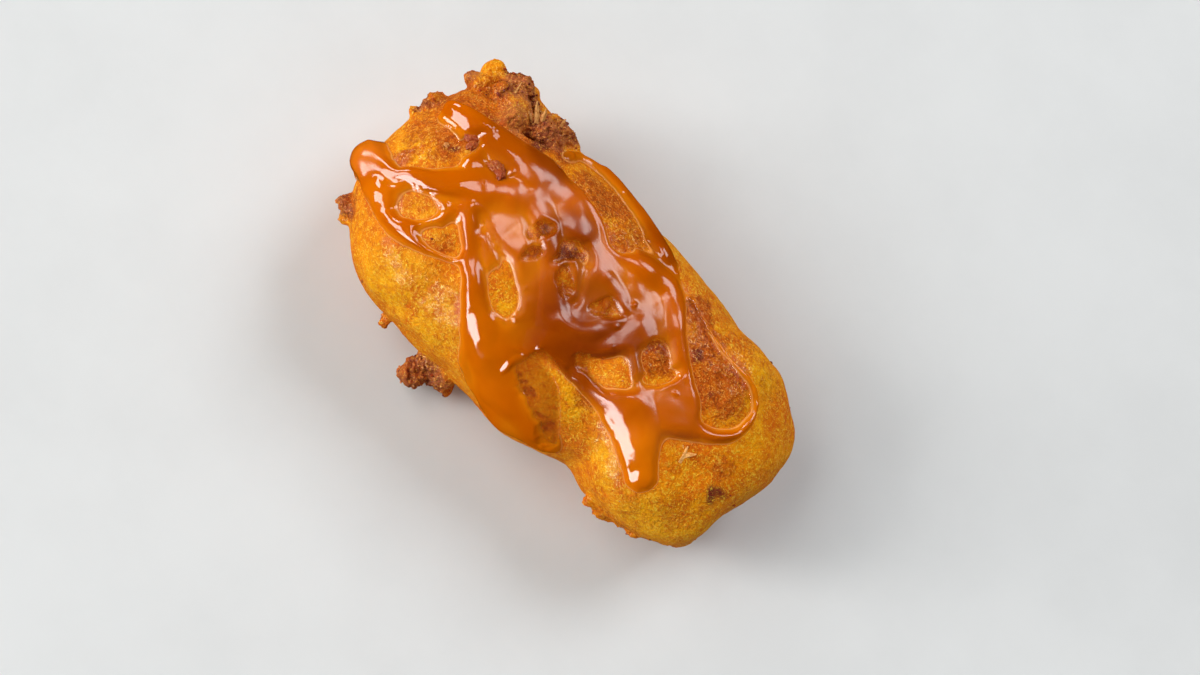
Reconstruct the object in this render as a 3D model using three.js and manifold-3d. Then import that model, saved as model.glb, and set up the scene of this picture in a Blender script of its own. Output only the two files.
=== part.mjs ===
// A chocolate bar fried in batter, lying with its sauced side up. An airy crust with crags and
// flakes wraps the bar, the bar's corner shows where the crust has burst, and caramel sauce
// poured in strands lies over the top. Millimetres, +Z up, +X from the burst end to the smooth
// end, with the origin on the resting surface under the middle.
import * as THREE from "three";
import { ImprovedNoise } from "three/addons/math/ImprovedNoise.js";
import { mergeVertices } from "three/addons/utils/BufferGeometryUtils.js";
import Module from "manifold-3d";

const wasm = await Module();
wasm.setup();

// Driving dimensions
const ENDS = { burst: -55.4, smooth: 57.8 }; // where the crust ends, without its crags
const MID_HEIGHT = 18; // level at which the crust is widest
const TOP_RISE = 19; // from that level to the top
const BOTTOM_DROP = 20.5; // below that level, cut off at the resting surface as a flat foot
const SIDE_ROUNDNESS = 2.4; // 2 is an ellipse, more is squarer
const END_BLUNTNESS = { across: 8, upwards: 4 };
const END_ROUNDNESS = 2.2; // of the ends' edges, as SIDE_ROUNDNESS
const RELIEF = [
  { size: 15, height: 1.0 },
  { size: 7, height: 0.45 },
];
const NOISE = { gain: 1.4, shift: 40 }; // brings its height to about 1, and its start off the origin
const CRUST_GRID = { rings: 62, overTop: 37, underneath: 8, topReach: 12 }; // reach in degrees past level
const BAR = { length: 98, width: 33, height: 20, squareness: 5, endBluntness: 15 };
const BAR_GRID = { rings: 12, overTop: 10, underneath: 6, topReach: 12 };
const GAP = 0.3; // air between touching pieces
const SAME_POINT = 1e-4; // corners closer than this are one
const CRAG_ROUGHNESS = 0.45;
const CRAG_CLEARANCE = 1.5; // sauce stays this many crag radii from a crag's middle
const FLAKE = { stretch: [1.2, 0.9, 0.8], roughness: 0.5, scatter: 3, variation: 0.45 };
const SAUCE = { edge: 1.2, edgeWidth: 2.2, slope: 0.2, fillet: 3, openingFillet: 1.2 };
const STRAND_STEPS = 3; // for each point given along a strand
const EDGE_MARGIN = 0.1; // an edge point keeps this share of a side from the side's ends
const DRIP = { at: [-54, -8.5, 24], depth: 2.4, reach: 4 }; // where sauce gathers at the burst end

// Crust half widths along the length: [x, far side, near side]
const WIDTHS = [
  [-50, 27, 22.3],
  [-36, 27.2, 27.2],
  [-20, 28, 28.3],
  [-5, 29, 26.5],
  [8, 28.8, 26],
  [18, 28.5, 23],
  [24, 28.3, 20.5],
  [31, 28, 22.4],
  [40, 27.4, 22.6],
  [50, 26, 20.5],
];

// The valley that pinches the near side: [x, y] along its floor
const VALLEY = { floor: [[24, -23], [20, -14], [13, -8]], depth: 2.6, width: 4.5 };

// Crags and knobs of batter: [x, y, z, radius, stretch in x, y and z]
const CRAGS = [
  [-50, 24.6, 22, 3.3, 1, 1, 1],
  [-50.2, 20.5, 24, 2.6, 1, 1.1, 0.9],
  [-52.6, 20.2, 23, 1.8, 1, 1, 1.2],
  [-54.4, 9.6, 23, 1.9, 1.1, 1.2, 0.8],
  [-54.8, 6, 21, 1.5, 1.2, 1, 0.9],
  [-50, -18.4, 18, 2.5, 1.4, 0.8, 0.8],
  [-48.5, -19.5, 15, 2.1, 1, 1, 1],
  [-43.9, 26, 24.5, 3.6, 1.1, 0.9, 0.9],
  [-41.5, 27.4, 20, 2.9, 1, 0.8, 1.2],
  [-42.5, 22.5, 27.5, 3.0, 1, 1, 0.8],
  [-31.5, 24.9, 25.5, 3.6, 1.2, 0.9, 0.8],
  [-28, 25.4, 22, 2.8, 1.2, 0.8, 1],
  [-32.5, 21.5, 29.6, 3.2, 1.3, 1, 0.7],
  [-39.5, 17.6, 32.3, 2.4, 1.2, 1, 0.6],
  [-45.5, 21.5, 29, 2.6, 1, 1, 0.7],
  [-37, 27, 20.5, 2.8, 1.2, 0.8, 0.9],
  [-14, -30.4, 6, 3.3, 1.1, 1, 0.9],
  [-8.2, -27, 5.6, 2.9, 1.3, 1, 0.8],
  [-11.5, -25.4, 7, 4.2, 1.4, 1, 0.9],
  [-26, -28.2, 10, 1.5, 1, 1, 1.2],
  [36, -22.2, 14, 1.9, 1.4, 0.7, 1],
  [44, -19.4, 15, 1.8, 1.4, 0.8, 0.9],
  [51, -13.6, 15, 2.2, 1.1, 1, 1],
];

// Flakes that fringe the crust: each row runs from one point to another
const FRINGES = [
  { from: [-54.8, 5, 21], to: [-53.8, 12, 23], count: 5, radius: 1.4 },
  { from: [-47, 25.7, 25], to: [-27, 26.3, 25], count: 9, radius: 1.6 },
  { from: [33, -22.8, 14], to: [52.5, -12.8, 14], count: 10, radius: 1.2 },
];

// The burst corner: an uneven hollow down to the bar
const BURST = { at: [-37.5, 22.5, 27.5], radii: [7.6, 7.8, 8.2], roughness: 0.3 };

// Strands of sauce as they were poured: [x, y, half width] along each, all on the top side
const STRANDS = [
  [[-48.9, 8.4, 2.8], [-43.9, 10.2, 3.5], [-35.2, 10.5, 4.8], [-24.5, 12.5, 6.1], [-14.5, 13.8, 5.2]],
  [[-53, -8.5, 4.2], [-46, -10.3, 2.4], [-39.4, -5.4, 2.6], [-33.2, 0.7, 3.9], [-23.4, 6.6, 5.2]],
  [[-52.5, -10, 3.8], [-49.8, -15.4, 2.6], [-42, -18.7, 2.6], [-34.6, -18, 2.4], [-24.2, -13.2, 1.5]],
  [[-35, -15.5, 2], [-34, -6.2, 2]],
  [[-29.9, -4.1, 2.8], [-24.7, -9.9, 2.8], [-18.2, -15.6, 2.8], [-10.9, -20.1, 3.9], [-4.3, -22, 5.7]],
  [[-20.9, 1, 4.8], [-9.7, -6.5, 4.8], [-1.8, -10.7, 5.7]],
  [[-12.1, 11.2, 4.4], [-3.9, 9.7, 4.4], [-0.9, 3.6, 3.9], [4.1, -4.2, 5.7]],
  [[-7.7, -16.8, 6.1], [2.4, -8.7, 5.2], [11.6, 0.9, 5.2], [14.2, 11, 5.7], [21.3, 8.8, 4.8]],
  [[-25.9, 21, 1.9], [-21.1, 24.6, 1.8], [-12.9, 27, 2.2], [-3.3, 25, 2.6], [4, 22.7, 3.5], [11, 20, 3.1]],
  [[1.9, 16.9, 3.9], [9.4, 15.9, 4.8], [17.2, 14.6, 3.5]],
  [[9.4, -3.2, 4.8], [18.5, 0.5, 5.7], [27, 1.8, 5.7], [31.8, -1.1, 4.8]],
  [[22.6, -3.3, 7.4], [29.8, -8.2, 6.3], [34.4, -12.6, 4.2], [36.7, -14.6, 3.8]],
  [[27.3, -4.5, 5.2], [35.6, 0.1, 3.1], [40.4, 2.5, 1.9], [43, 7.5, 1.8], [42.6, 13.2, 1.8]],
  [[42.6, 13.2, 1.8], [35.9, 17.2, 1.8], [26.3, 18.2, 1.8], [15.1, 19.6, 1.9]],
  [[-1.6, -23.5, 5.7], [3.6, -25, 5.2], [9.8, -24, 3.3], [16, -21.8, 2.2]],
];

// Openings between the strands, where crust shows: [x, y, half length, half width, turn in degrees]
const OPENINGS = [
  [-39.4, -12.2, 4.1, 2.8, 40],
  [-14.2, -10.7, 5.5, 2.6, -42],
  [-10, 7.4, 3.5, 2, 48],
  [3.6, 3.6, 2.6, 2.4, 0],
  [19.8, 3, 4.8, 2, -42],
  [15.1, -5.4, 3.9, 2.1, 38],
  [-13.1, 19.2, 10.9, 2.6, 0],
  [33, 11.1, 10.5, 5.2, -12],
];

const perlin = new ImprovedNoise();

// A smooth uneven height in about -1 to 1, with bumps about size across
function unevenness(point, size) {
  const [x, y, z] = point.toArray().map((value) => value / size + NOISE.shift);
  return perlin.noise(x, y, z) * NOISE.gain;
}

// A smooth curve through a table's column, read at x
function readTable(table, column, x) {
  const last = table.length - 1;
  const at = THREE.MathUtils.clamp(x, table[0][0], table[last][0]);
  const i = Math.min(last, table.filter((row) => row[0] <= at).length) - 1;
  const slope = (k) => {
    const before = table[Math.max(0, k - 1)];
    const after = table[Math.min(last, k + 1)];
    return (after[column] - before[column]) / (after[0] - before[0]);
  };
  const step = table[i + 1][0] - table[i][0];
  const t = (at - table[i][0]) / step;
  const ease = t * t * (3 - 2 * t);
  const rise = t * (1 - t) * (1 - t) * step * slope(i) - t * t * (1 - t) * step * slope(i + 1);
  return table[i][column] + (table[i + 1][column] - table[i][column]) * ease + rise;
}

function signedPower(value, power) {
  return Math.sign(value) * Math.abs(value) ** power;
}

// How much of its full size a section keeps between the middle, 0, and either end, 1 or -1
function endTaper(along, bluntness) {
  return (1 - Math.min(1, Math.abs(along)) ** bluntness) ** (1 / END_ROUNDNESS);
}

// A place between the crust's ends as -1 to 1, and back
function crustAlong(x) {
  return x < 0 ? -x / ENDS.burst : x / ENDS.smooth;
}

function crustX(along) {
  return along < 0 ? -along * ENDS.burst : along * ENDS.smooth;
}

// In plan, from a place to the nearest point of a path
function distanceToPath(x, y, path) {
  const segments = path.slice(1).map((end, i) => [path[i], end]);
  const distances = segments.map(([[ax, ay], [bx, by]]) => {
    const along = ((x - ax) * (bx - ax) + (y - ay) * (by - ay)) / ((bx - ax) ** 2 + (by - ay) ** 2);
    const t = THREE.MathUtils.clamp(along, 0, 1);
    return Math.hypot(x - ax - t * (bx - ax), y - ay - t * (by - ay));
  });
  return Math.min(...distances);
}

// The crust's half width on the side that side's sign names: + is the far side
function halfWidthAt(x, side) {
  return readTable(WIDTHS, side > 0 ? 1 : 2, x) * endTaper(crustAlong(x), END_BLUNTNESS.across);
}

// The crust's form before its relief: x along it, and an angle round its section from +Y up
function crustForm(x, angle) {
  const across = Math.cos(angle);
  const up = Math.sin(angle);
  const power = 2 / SIDE_ROUNDNESS;
  const halfHeight = (up > 0 ? TOP_RISE : BOTTOM_DROP) * endTaper(crustAlong(x), END_BLUNTNESS.upwards);
  const y = signedPower(across, power) * halfWidthAt(x, across);
  const fromValley = distanceToPath(x, y, VALLEY.floor) / VALLEY.width;
  const dip = Math.max(0, up) * VALLEY.depth * Math.exp(-(fromValley ** 2));
  return new THREE.Vector3(x, y, MID_HEIGHT + signedPower(up, power) * halfHeight - dip);
}

// The crust's surface with its relief, flat where it rests
function crustSurface(along, angle) {
  const p = crustForm(crustX(along), angle);
  const outwards = new THREE.Vector3(0, Math.cos(angle), Math.sin(angle));
  const bump = RELIEF.reduce((sum, wave) => sum + wave.height * unevenness(p, wave.size), 0);
  p.addScaledVector(outwards, bump * endTaper(along, END_BLUNTNESS.upwards));
  p.z = Math.max(0, p.z);
  return p;
}

// The bar's surface, a long block with rounded edges
function barSurface(along, angle) {
  const power = 2 / BAR.squareness;
  const taper = endTaper(along, BAR.endBluntness);
  return new THREE.Vector3(
    (along * BAR.length) / 2,
    (signedPower(Math.cos(angle), power) * taper * BAR.width) / 2,
    MID_HEIGHT + (signedPower(Math.sin(angle), power) * taper * BAR.height) / 2,
  );
}

// Stations from one end, -1, to the other, 1, closer together near the ends
function stations(count) {
  return Array.from({ length: count + 1 }, (_, i) => {
    const even = (2 * i) / count - 1;
    return (even - Math.cos((Math.PI * i) / count)) / 2;
  });
}

// Angles round a section, closer together over the top than underneath
function sectionAngles({ overTop, underneath, topReach }) {
  const from = -THREE.MathUtils.degToRad(topReach);
  const topArc = Math.PI - 2 * from;
  const bottomArc = 2 * Math.PI - topArc;
  const top = Array.from({ length: overTop }, (_, i) => from + (topArc * i) / overTop);
  const bottom = Array.from({ length: underneath }, (_, i) => from + topArc + (bottomArc * i) / underneath);
  return [...top, ...bottom];
}

// A closed skin of rings between two end points, as indexed geometry
function closedSkin(grid, surface) {
  const angles = sectionAngles(grid);
  const sections = stations(grid.rings).slice(1, -1);
  const points = [surface(-1, 0), surface(1, 0)];
  for (const along of sections) for (const angle of angles) points.push(surface(along, angle));
  const rings = sections.length;
  const round = angles.length;
  const id = (ring, step) => 2 + ring * round + (step % round);
  const faces = [];
  for (let step = 0; step < round; step++) {
    faces.push(0, id(0, step + 1), id(0, step));
    faces.push(1, id(rings - 1, step), id(rings - 1, step + 1));
    for (let ring = 0; ring < rings - 1; ring++) {
      const [a, b, c, d] = [id(ring, step), id(ring + 1, step), id(ring + 1, step + 1), id(ring, step + 1)];
      faces.push(...((ring + step) % 2 ? [a, c, b, a, d, c] : [a, d, b, b, d, c]));
    }
  }
  const geometry = new THREE.BufferGeometry().setFromPoints(points);
  geometry.setIndex(faces);
  geometry.computeVertexNormals();
  return geometry;
}

// A closed geometry as a solid, and a solid as geometry
function toSolid(geometry) {
  const bare = geometry.clone();
  for (const name of ["normal", "uv"]) bare.deleteAttribute(name);
  const merged = mergeVertices(bare, SAME_POINT);
  return new wasm.Manifold(
    new wasm.Mesh({
      numProp: 3,
      vertProperties: new Float32Array(merged.attributes.position.array),
      triVerts: new Uint32Array(merged.index.array),
    }),
  );
}

function toGeometry(solid) {
  const mesh = solid.getMesh();
  const geometry = new THREE.BufferGeometry();
  geometry.setAttribute("position", new THREE.BufferAttribute(mesh.vertProperties, 3));
  geometry.setIndex(new THREE.BufferAttribute(mesh.triVerts, 1));
  geometry.computeVertexNormals();
  return geometry;
}

function largestPiece(solid) {
  return solid.decompose().reduce((best, piece) => (piece.volume() > best.volume() ? piece : best));
}

// An uneven ball of batter
function lump([x, y, z], radius, stretch, roughness, detail) {
  const geometry = new THREE.IcosahedronGeometry(radius, detail);
  const position = geometry.attributes.position;
  const p = new THREE.Vector3();
  const centre = new THREE.Vector3(x, y, z);
  for (let i = 0; i < position.count; i++) {
    p.fromBufferAttribute(position, i);
    const grow = 1 + roughness * unevenness(p.clone().add(centre), radius);
    p.multiplyScalar(grow).multiply(stretch).add(centre);
    position.setXYZ(i, p.x, p.y, p.z);
  }
  return toSolid(geometry);
}

function crags() {
  return CRAGS.map(([x, y, z, radius, ...stretch]) =>
    lump([x, y, z], radius, new THREE.Vector3(...stretch), CRAG_ROUGHNESS, 1),
  );
}

function fringeFlakes() {
  const flakes = [];
  for (const { from, to, count, radius } of FRINGES) {
    for (let i = 0; i < count; i++) {
      const at = new THREE.Vector3(...from).lerp(new THREE.Vector3(...to), i / (count - 1));
      const size = radius * (1 + FLAKE.variation * unevenness(at, radius));
      at.z += FLAKE.scatter * unevenness(at, radius);
      flakes.push(lump(at.toArray(), size, new THREE.Vector3(...FLAKE.stretch), FLAKE.roughness, 0));
    }
  }
  return flakes;
}

// The crust: burst open at its corner, then crags and flakes fused on round the break
function makeBatterCrust(skin) {
  const burst = lump(BURST.at, 1, new THREE.Vector3(...BURST.radii), BURST.roughness, 2);
  const whole = wasm.Manifold.union([toSolid(skin).subtract(burst), ...crags(), ...fringeFlakes()]);
  return largestPiece(whole.subtract(barSolid(GAP)));
}

// The bar's solid, grown by a margin on every side for the hollow that holds it
function barSolid(margin) {
  const skin = closedSkin(BAR_GRID, barSurface);
  skin.translate(0, 0, -MID_HEIGHT);
  skin.scale(...[BAR.length, BAR.width, BAR.height].map((size) => 1 + (2 * margin) / size));
  skin.translate(0, 0, MID_HEIGHT);
  return toSolid(skin);
}

// The larger of two values, rounded off where they are within blend of each other
function smoothMax(a, b, blend) {
  const overlap = Math.max(blend - Math.abs(a - b), 0) / blend;
  return Math.max(a, b) + (overlap * overlap * blend) / 4;
}

// The point of the crust's form straight above a place in plan
function liftedToTop(x, y) {
  const across = Math.min(1, Math.abs(y) / halfWidthAt(x, y)) ** (SIDE_ROUNDNESS / 2);
  return crustForm(x, y > 0 ? Math.acos(across) : Math.PI - Math.acos(across));
}

// Each strand as a smooth run of points on the crust's form, with its half width at each
const strandPaths = STRANDS.map((strand) => {
  const curve = new THREE.CatmullRomCurve3(strand.map((entry) => new THREE.Vector3(...entry)));
  const points = curve.getPoints(strand.length * STRAND_STEPS);
  return points.map((p) => ({ at: liftedToTop(p.x, p.y), halfWidth: p.z }));
});

// How far inside one strand a point is
function insideStrand(point, path) {
  let inside = -Infinity;
  for (let i = 1; i < path.length; i++) {
    const segment = new THREE.Line3(path[i - 1].at, path[i].at);
    const t = segment.closestPointToPointParameter(point, true);
    const halfWidth = THREE.MathUtils.lerp(path[i - 1].halfWidth, path[i].halfWidth, t);
    inside = Math.max(inside, halfWidth - segment.at(t, new THREE.Vector3()).distanceTo(point));
  }
  return inside;
}

// How far outside one oval opening a point is
function outsideOpening(point, [x, y, halfLength, halfWidth, turn]) {
  const angle = THREE.MathUtils.degToRad(turn);
  const dx = point.x - x;
  const dy = point.y - y;
  const along = (dx * Math.cos(angle) + dy * Math.sin(angle)) / halfLength;
  const across = (dy * Math.cos(angle) - dx * Math.sin(angle)) / halfWidth;
  return (Math.hypot(along, across) - 1) * Math.sqrt(halfLength * halfWidth);
}

// How far inside the poured sauce a point of the crust is, in mm, negative outside it
function insideSauce(point) {
  const depths = strandPaths.map((path) => insideStrand(point, path));
  const poured = depths.reduce((sum, depth) => smoothMax(sum, depth, SAUCE.fillet));
  const opened = OPENINGS.reduce(
    (sum, opening) => -smoothMax(-sum, -outsideOpening(point, opening), SAUCE.openingFillet),
    poured,
  );
  const clearOfCrags = CRAGS.map(
    ([x, y, z, radius]) => point.distanceTo(new THREE.Vector3(x, y, z)) - CRAG_CLEARANCE * radius,
  );
  return Math.min(opened, ...clearOfCrags);
}

// From 1 at a place to nothing well past its reach
function nearness(point, { at, reach }) {
  return Math.exp(-point.distanceToSquared(new THREE.Vector3(...at)) / reach ** 2);
}

// The sauce's depth, rising steeply at its edge and gently after
function sauceDepth(inside) {
  const rising = Math.min(inside / SAUCE.edgeWidth, 1);
  return SAUCE.edge * Math.sin((rising * Math.PI) / 2) + SAUCE.slope * inside;
}

// The sauce's skin: the crust's own faces where the sauce covers them, cut at its edge
function makeCaramelSauce(skin) {
  const position = skin.attributes.position;
  const normal = skin.attributes.normal;
  const at = (attribute, i) => new THREE.Vector3().fromBufferAttribute(attribute, i);
  const cover = Array.from({ length: position.count }, (_, i) => insideSauce(at(position, i)));
  const lower = [];
  const upper = [];
  const known = new Map();
  const remember = (key, point, outwards, depth) => {
    if (!known.has(key)) {
      known.set(key, lower.length);
      lower.push(point.clone().addScaledVector(outwards, GAP));
      upper.push(point.clone().addScaledVector(outwards, GAP + depth));
    }
    return known.get(key);
  };
  const depthAt = (i) => sauceDepth(cover[i]) + DRIP.depth * nearness(at(position, i), DRIP);
  const inner = (i) => remember(`${i}`, at(position, i), at(normal, i), depthAt(i));
  const edge = (i, j) => {
    const [a, b] = i < j ? [i, j] : [j, i];
    const t = THREE.MathUtils.clamp(cover[a] / (cover[a] - cover[b]), EDGE_MARGIN, 1 - EDGE_MARGIN);
    const outwards = at(normal, a).lerp(at(normal, b), t).normalize();
    return remember(`${a}-${b}`, at(position, a).lerp(at(position, b), t), outwards, 0);
  };
  const faces = [];
  const index = skin.index.array;
  // Each face keeps the part of it that the sauce covers
  for (let f = 0; f < index.length; f += 3) {
    const corners = [index[f], index[f + 1], index[f + 2]];
    const outline = corners.flatMap((corner, k) => {
      const next = corners[(k + 1) % 3];
      const here = cover[corner] > 0 ? [inner(corner)] : [];
      return cover[corner] > 0 !== cover[next] > 0 ? [...here, edge(corner, next)] : here;
    });
    for (let k = 2; k < outline.length; k++) faces.push([outline[0], outline[k - 1], outline[k]]);
  }
  // The upper skin shares the lower one's points along the edge
  const edgePoints = new Set([...known].filter(([key]) => key.includes("-")).map(([, i]) => i));
  const top = (i) => (edgePoints.has(i) ? i : i + lower.length);
  const both = faces.flatMap(([a, b, c]) => [a, c, b, top(a), top(b), top(c)]);
  const geometry = new THREE.BufferGeometry().setFromPoints([...lower, ...upper]);
  geometry.setIndex(both);
  return geometry;
}

// The pieces
const finishes = {
  batter: new THREE.MeshStandardMaterial({ color: 0xd08a1e, roughness: 0.5, metalness: 0 }),
  chocolate: new THREE.MeshStandardMaterial({ color: 0x7a4526, roughness: 0.45, metalness: 0 }),
  caramel: new THREE.MeshStandardMaterial({ color: 0xc25c06, roughness: 0.12, metalness: 0 }),
};

function piece(name, geometry, material) {
  const mesh = new THREE.Mesh(geometry, material);
  mesh.name = name;
  return mesh;
}

const crustSkin = closedSkin(CRUST_GRID, crustSurface);
const crustSolid = makeBatterCrust(crustSkin);
const sauceSolid = largestPiece(toSolid(makeCaramelSauce(crustSkin)));

const friedBar = new THREE.Group();
friedBar.add(
  piece("batter_crust", toGeometry(crustSolid), finishes.batter),
  piece("candy_bar", toGeometry(barSolid(0)), finishes.chocolate),
  piece("caramel_sauce", toGeometry(sauceSolid), finishes.caramel),
);

export default friedBar;
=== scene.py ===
"""A chocolate bar fried in golden batter, under caramel sauce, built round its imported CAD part."""
import math

import bmesh
import bpy
import numpy as np
from bpy.props import FloatProperty, FloatVectorProperty, IntProperty, PointerProperty
from mathutils import Matrix, Vector, noise
from mathutils.bvhtree import BVHTree


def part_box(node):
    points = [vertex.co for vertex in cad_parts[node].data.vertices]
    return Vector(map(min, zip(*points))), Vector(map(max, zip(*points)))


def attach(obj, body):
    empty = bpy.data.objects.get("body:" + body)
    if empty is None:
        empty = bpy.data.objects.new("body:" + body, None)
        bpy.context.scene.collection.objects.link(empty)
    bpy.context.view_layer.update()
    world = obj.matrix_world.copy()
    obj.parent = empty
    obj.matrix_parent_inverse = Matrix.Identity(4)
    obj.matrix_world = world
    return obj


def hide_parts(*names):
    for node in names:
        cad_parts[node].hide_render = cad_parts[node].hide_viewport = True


bl_info = {
    "name": "Fried Chocolate Bar",
    "version": (1, 0, 0),
    "blender": (4, 5, 0),
    "location": "3D View > Sidebar > Fried Bar",
    "description": "Crust, bar, caramel sauce and crumbs of a deep-fried chocolate bar",
    "category": "Object",
}

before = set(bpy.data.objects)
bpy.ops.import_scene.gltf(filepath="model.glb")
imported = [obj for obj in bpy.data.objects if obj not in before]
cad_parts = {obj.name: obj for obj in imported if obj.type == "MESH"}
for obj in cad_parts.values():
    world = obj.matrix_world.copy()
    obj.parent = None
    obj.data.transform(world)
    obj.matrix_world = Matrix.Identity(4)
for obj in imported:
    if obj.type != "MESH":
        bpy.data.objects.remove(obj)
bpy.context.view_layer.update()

MM = 0.001  # the tables below are in millimetres, and properties in metres
OVERHEAD = 90.0  # higher than anything on the bar, in millimetres
DOWN = Vector((0, 0, -1))


def seen_colour(red, green, blue):
    """A colour given as it shows on a screen, 0 to 255, as the linear colour that shaders take."""
    shares = [channel / 255 for channel in (red, green, blue)]
    return [((s + 0.055) / 1.055) ** 2.4 if s > 0.04 else s / 12.92 for s in shares] + [1.0]


def length_property(name, description, millimetres):
    return FloatProperty(
        name=name, description=description, default=millimetres * MM, unit="LENGTH", precision=5
    )


def colour_property(name, description, *seen):
    colour = seen_colour(*seen)
    return FloatVectorProperty(
        name=name, description=description, default=colour, subtype="COLOR", size=4, min=0, max=1
    )


def angle_property(name, description, degrees):
    return FloatProperty(
        name=name, description=description, default=math.radians(degrees), unit="ROTATION"
    )


def number_property(name, description, value):
    return FloatProperty(name=name, description=description, default=value)


# Places on the bar. One with no strength at its end has full strength.

# Torn, rough and dark crust at the burst corner, on the scrap beside the bar and on the spiky crags:
# x, y, z, reach and strength
TORN = [
    (-43.5, 26.5, 27.5, 5.5), (-38.5, 25, 27, 6.0), (-34.5, 23.5, 30, 5.0), (-30, 24.5, 27.5, 4.5),
    (-31, 20.5, 31, 3.0), (-38, 18, 33, 2.8), (-46, 27, 22, 4.0), (-11.5, -29, 6, 6.5),
    (-50, -19, 17, 3.2, 0.95), (-55, 8, 23.5, 3.0, 0.8), (-53.4, 20.4, 24, 2.6, 0.7),
    (-45, 20.5, 30, 3.0, 0.55),
]

# Smooth tan batter at the lip of the burst: x, y, z and reach
TAN = [(-39.4, 18.8, 31.5, 3.6), (-37, 17.6, 33, 2.5)]

# Batter that half fills the burst, and the knob beside it: x, y, z and radius
FILLING = [
    (-41, 20.4, 28.2, 3.9), (-38.6, 19.2, 28.6, 3.7), (-33.6, 22.2, 27.6, 3.2),
    (-50, 24.8, 22.2, 3.0), (-51.8, 25.9, 23.6, 1.0),
]

# How far the crust is pushed in, or out where less than 0: x, y, z, reach and depth
DENTS = [(58, -3.5, 19, 9.5, 2.9), (54, 19, 20, 6.5, -1.3)]

# Crags that are rough but golden: x, y, z, reach and strength
CRAGGY = [
    (-47, 22, 27, 6.5, 0.7), (-50, 10, 27, 4, 0.25), (-52.6, 26.6, 24.4, 1.3),
    (-26, -28.5, 10, 2.0), (36, -23, 13, 2.4), (40, -21.8, 13.5, 2.4), (44, -20, 14, 2.4),
    (47.6, -17.6, 14, 2.4), (51, -14.5, 14, 2.6), (54, -11.5, 14, 2.2),
]

# Patches fried darker: x, y, z, reach and strength
BROWNED = [
    (33, 11, 35.3, 8.0, 0.85), (24.6, 14.6, 34.8, 5.5, 0.9), (18.5, 19.3, 33, 4.0, 0.9),
    (30.4, 22.6, 31.3, 5.0, 0.45), (19.6, 3.7, 36.6, 4.5, 0.85), (-9.5, 5.5, 38.6, 4.2, 0.9),
    (-45.5, 4.2, 32, 4.5, 0.75), (-50.2, 1.8, 29, 5.5, 0.7), (-17.6, 20.5, 32.5, 5.0, 0.75),
    (-11.2, 21.2, 32.4, 5.5, 0.85), (-4, 18.5, 34.8, 5.0, 0.7), (-8.5, 16, 35.8, 3.5, 0.5),
    (-15.8, 1.5, 37.5, 4.5, 0.75), (-43.3, 2, 33.7, 4.0, 0.7), (-48.7, -5.9, 30.7, 3.0, 0.8),
    (-44.6, -1.7, 33.4, 2.0, 0.6), (-47.8, 13.5, 29.8, 5.0, 0.45), (-38.7, 17.5, 33.7, 5.0, 0.8),
    (-34, 18.3, 31.5, 5.0, 1.0), (-29.5, 20.8, 31, 4.5, 1.0), (-53.1, 7.5, 25.4, 4.0, 0.5),
    (47.1, -0.1, 32.8, 3.0, 0.6), (37.2, -2, 34.7, 3.0, 0.45), (-26, -18.2, 34.1, 2.5, 0.3),
    (-29.3, -13.2, 34.9, 2.8, 0.55), (-38.2, -12.3, 33.5, 3.5, 0.15), (-51.8, 16.2, 22.5, 4.0, 0.6),
    (40.8, 21.4, 30, 5.0, 0.3), (15.9, -12.8, 33.3, 3.0, 0.5), (-49.5, -18.4, 19, 4.5, 0.9),
    (-3.4, -2.8, 36.2, 3.0, 0.7), (40, -22, 13, 9.0, 0.45), (-46.5, 17, 29, 8, 0.75),
    (-52, 13, 25, 6, 0.75), (-43, 3, 33, 7, 0.4), (24, 27, 14, 9, 0.5), (-16, 28, 12, 9, 0.4),
    (53, 8, 12, 8, 0.45), (4, -26, 9, 9, 0.4), (-53, -3, 11, 8, 0.45), (33, -22, 21, 4, 0.3),
    (2.2, -19.3, 31.6, 1.6, 1.0), (4.4, -19.8, 31.1, 1.4, 0.9), (7.3, -20.7, 30.4, 1.5, 1.0),
    (10.8, -21.2, 29.2, 1.5, 0.9), (14.4, -21.5, 27.1, 1.9, 1.0), (16.6, -12.7, 33.2, 2.2, 0.7),
]

# Small scorched spots: x, y, z, reach and strength
SCORCHED = [
    (49.3, -4.7, 31.5, 1.9, 1.0), (-42.3, 14.7, 33, 2.0, 0.6), (-31.3, 18.4, 32, 2.4, 0.8),
    (-9.3, 6.4, 38.8, 2.6, 0.8), (-10.2, 3.6, 38.4, 1.8, 0.8), (-16.9, 4, 38.1, 1.6, 0.5),
    (19, 5.8, 36, 2.6, 0.5), (33.4, 8.2, 35.5, 1.4), (-43.4, 2.7, 33.6, 1.2),
    (25.4, 12.2, 35.7, 1.4), (-46.5, 27.5, 24, 3.0), (-11.5, -29, 6, 7, 0.45),
]

# Where the crust is palest and yellowest: x, y, z and reach
PALE = [
    (-28.6, -25.8, 27.4, 9), (-18.9, -24.9, 28.8, 8), (-11.8, -11.6, 35.7, 4),
    (42.2, 10.5, 33.2, 6), (30.5, -18.4, 30.6, 7), (44.2, -18.1, 26.5, 8), (51.5, -10.4, 28.2, 6),
    (14.4, -14.4, 33.3, 5), (-51.8, 21.3, 25, 3), (-49.6, -1.6, 29.3, 3.5), (-45.4, -3.4, 32, 3.5),
    (36.6, 21.1, 32, 5), (-38.2, -11.6, 33.5, 4), (6.4, -17.2, 33.4, 4.5), (12, -17.8, 32.4, 3.5),
]

# Peaks of crust that rise through the sauce: x, y, height and reach
PEAKS = [
    (-16.9, 4, 0.7, 2.0), (-14.7, -1.2, 0.6, 2.0), (-9.3, 6.4, 0.9, 2.2), (-10.2, 3.6, 0.8, 1.8),
    (4.4, 3.1, 0.5, 2.4), (19.5, 4.6, 0.8, 2.4),
]

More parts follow.
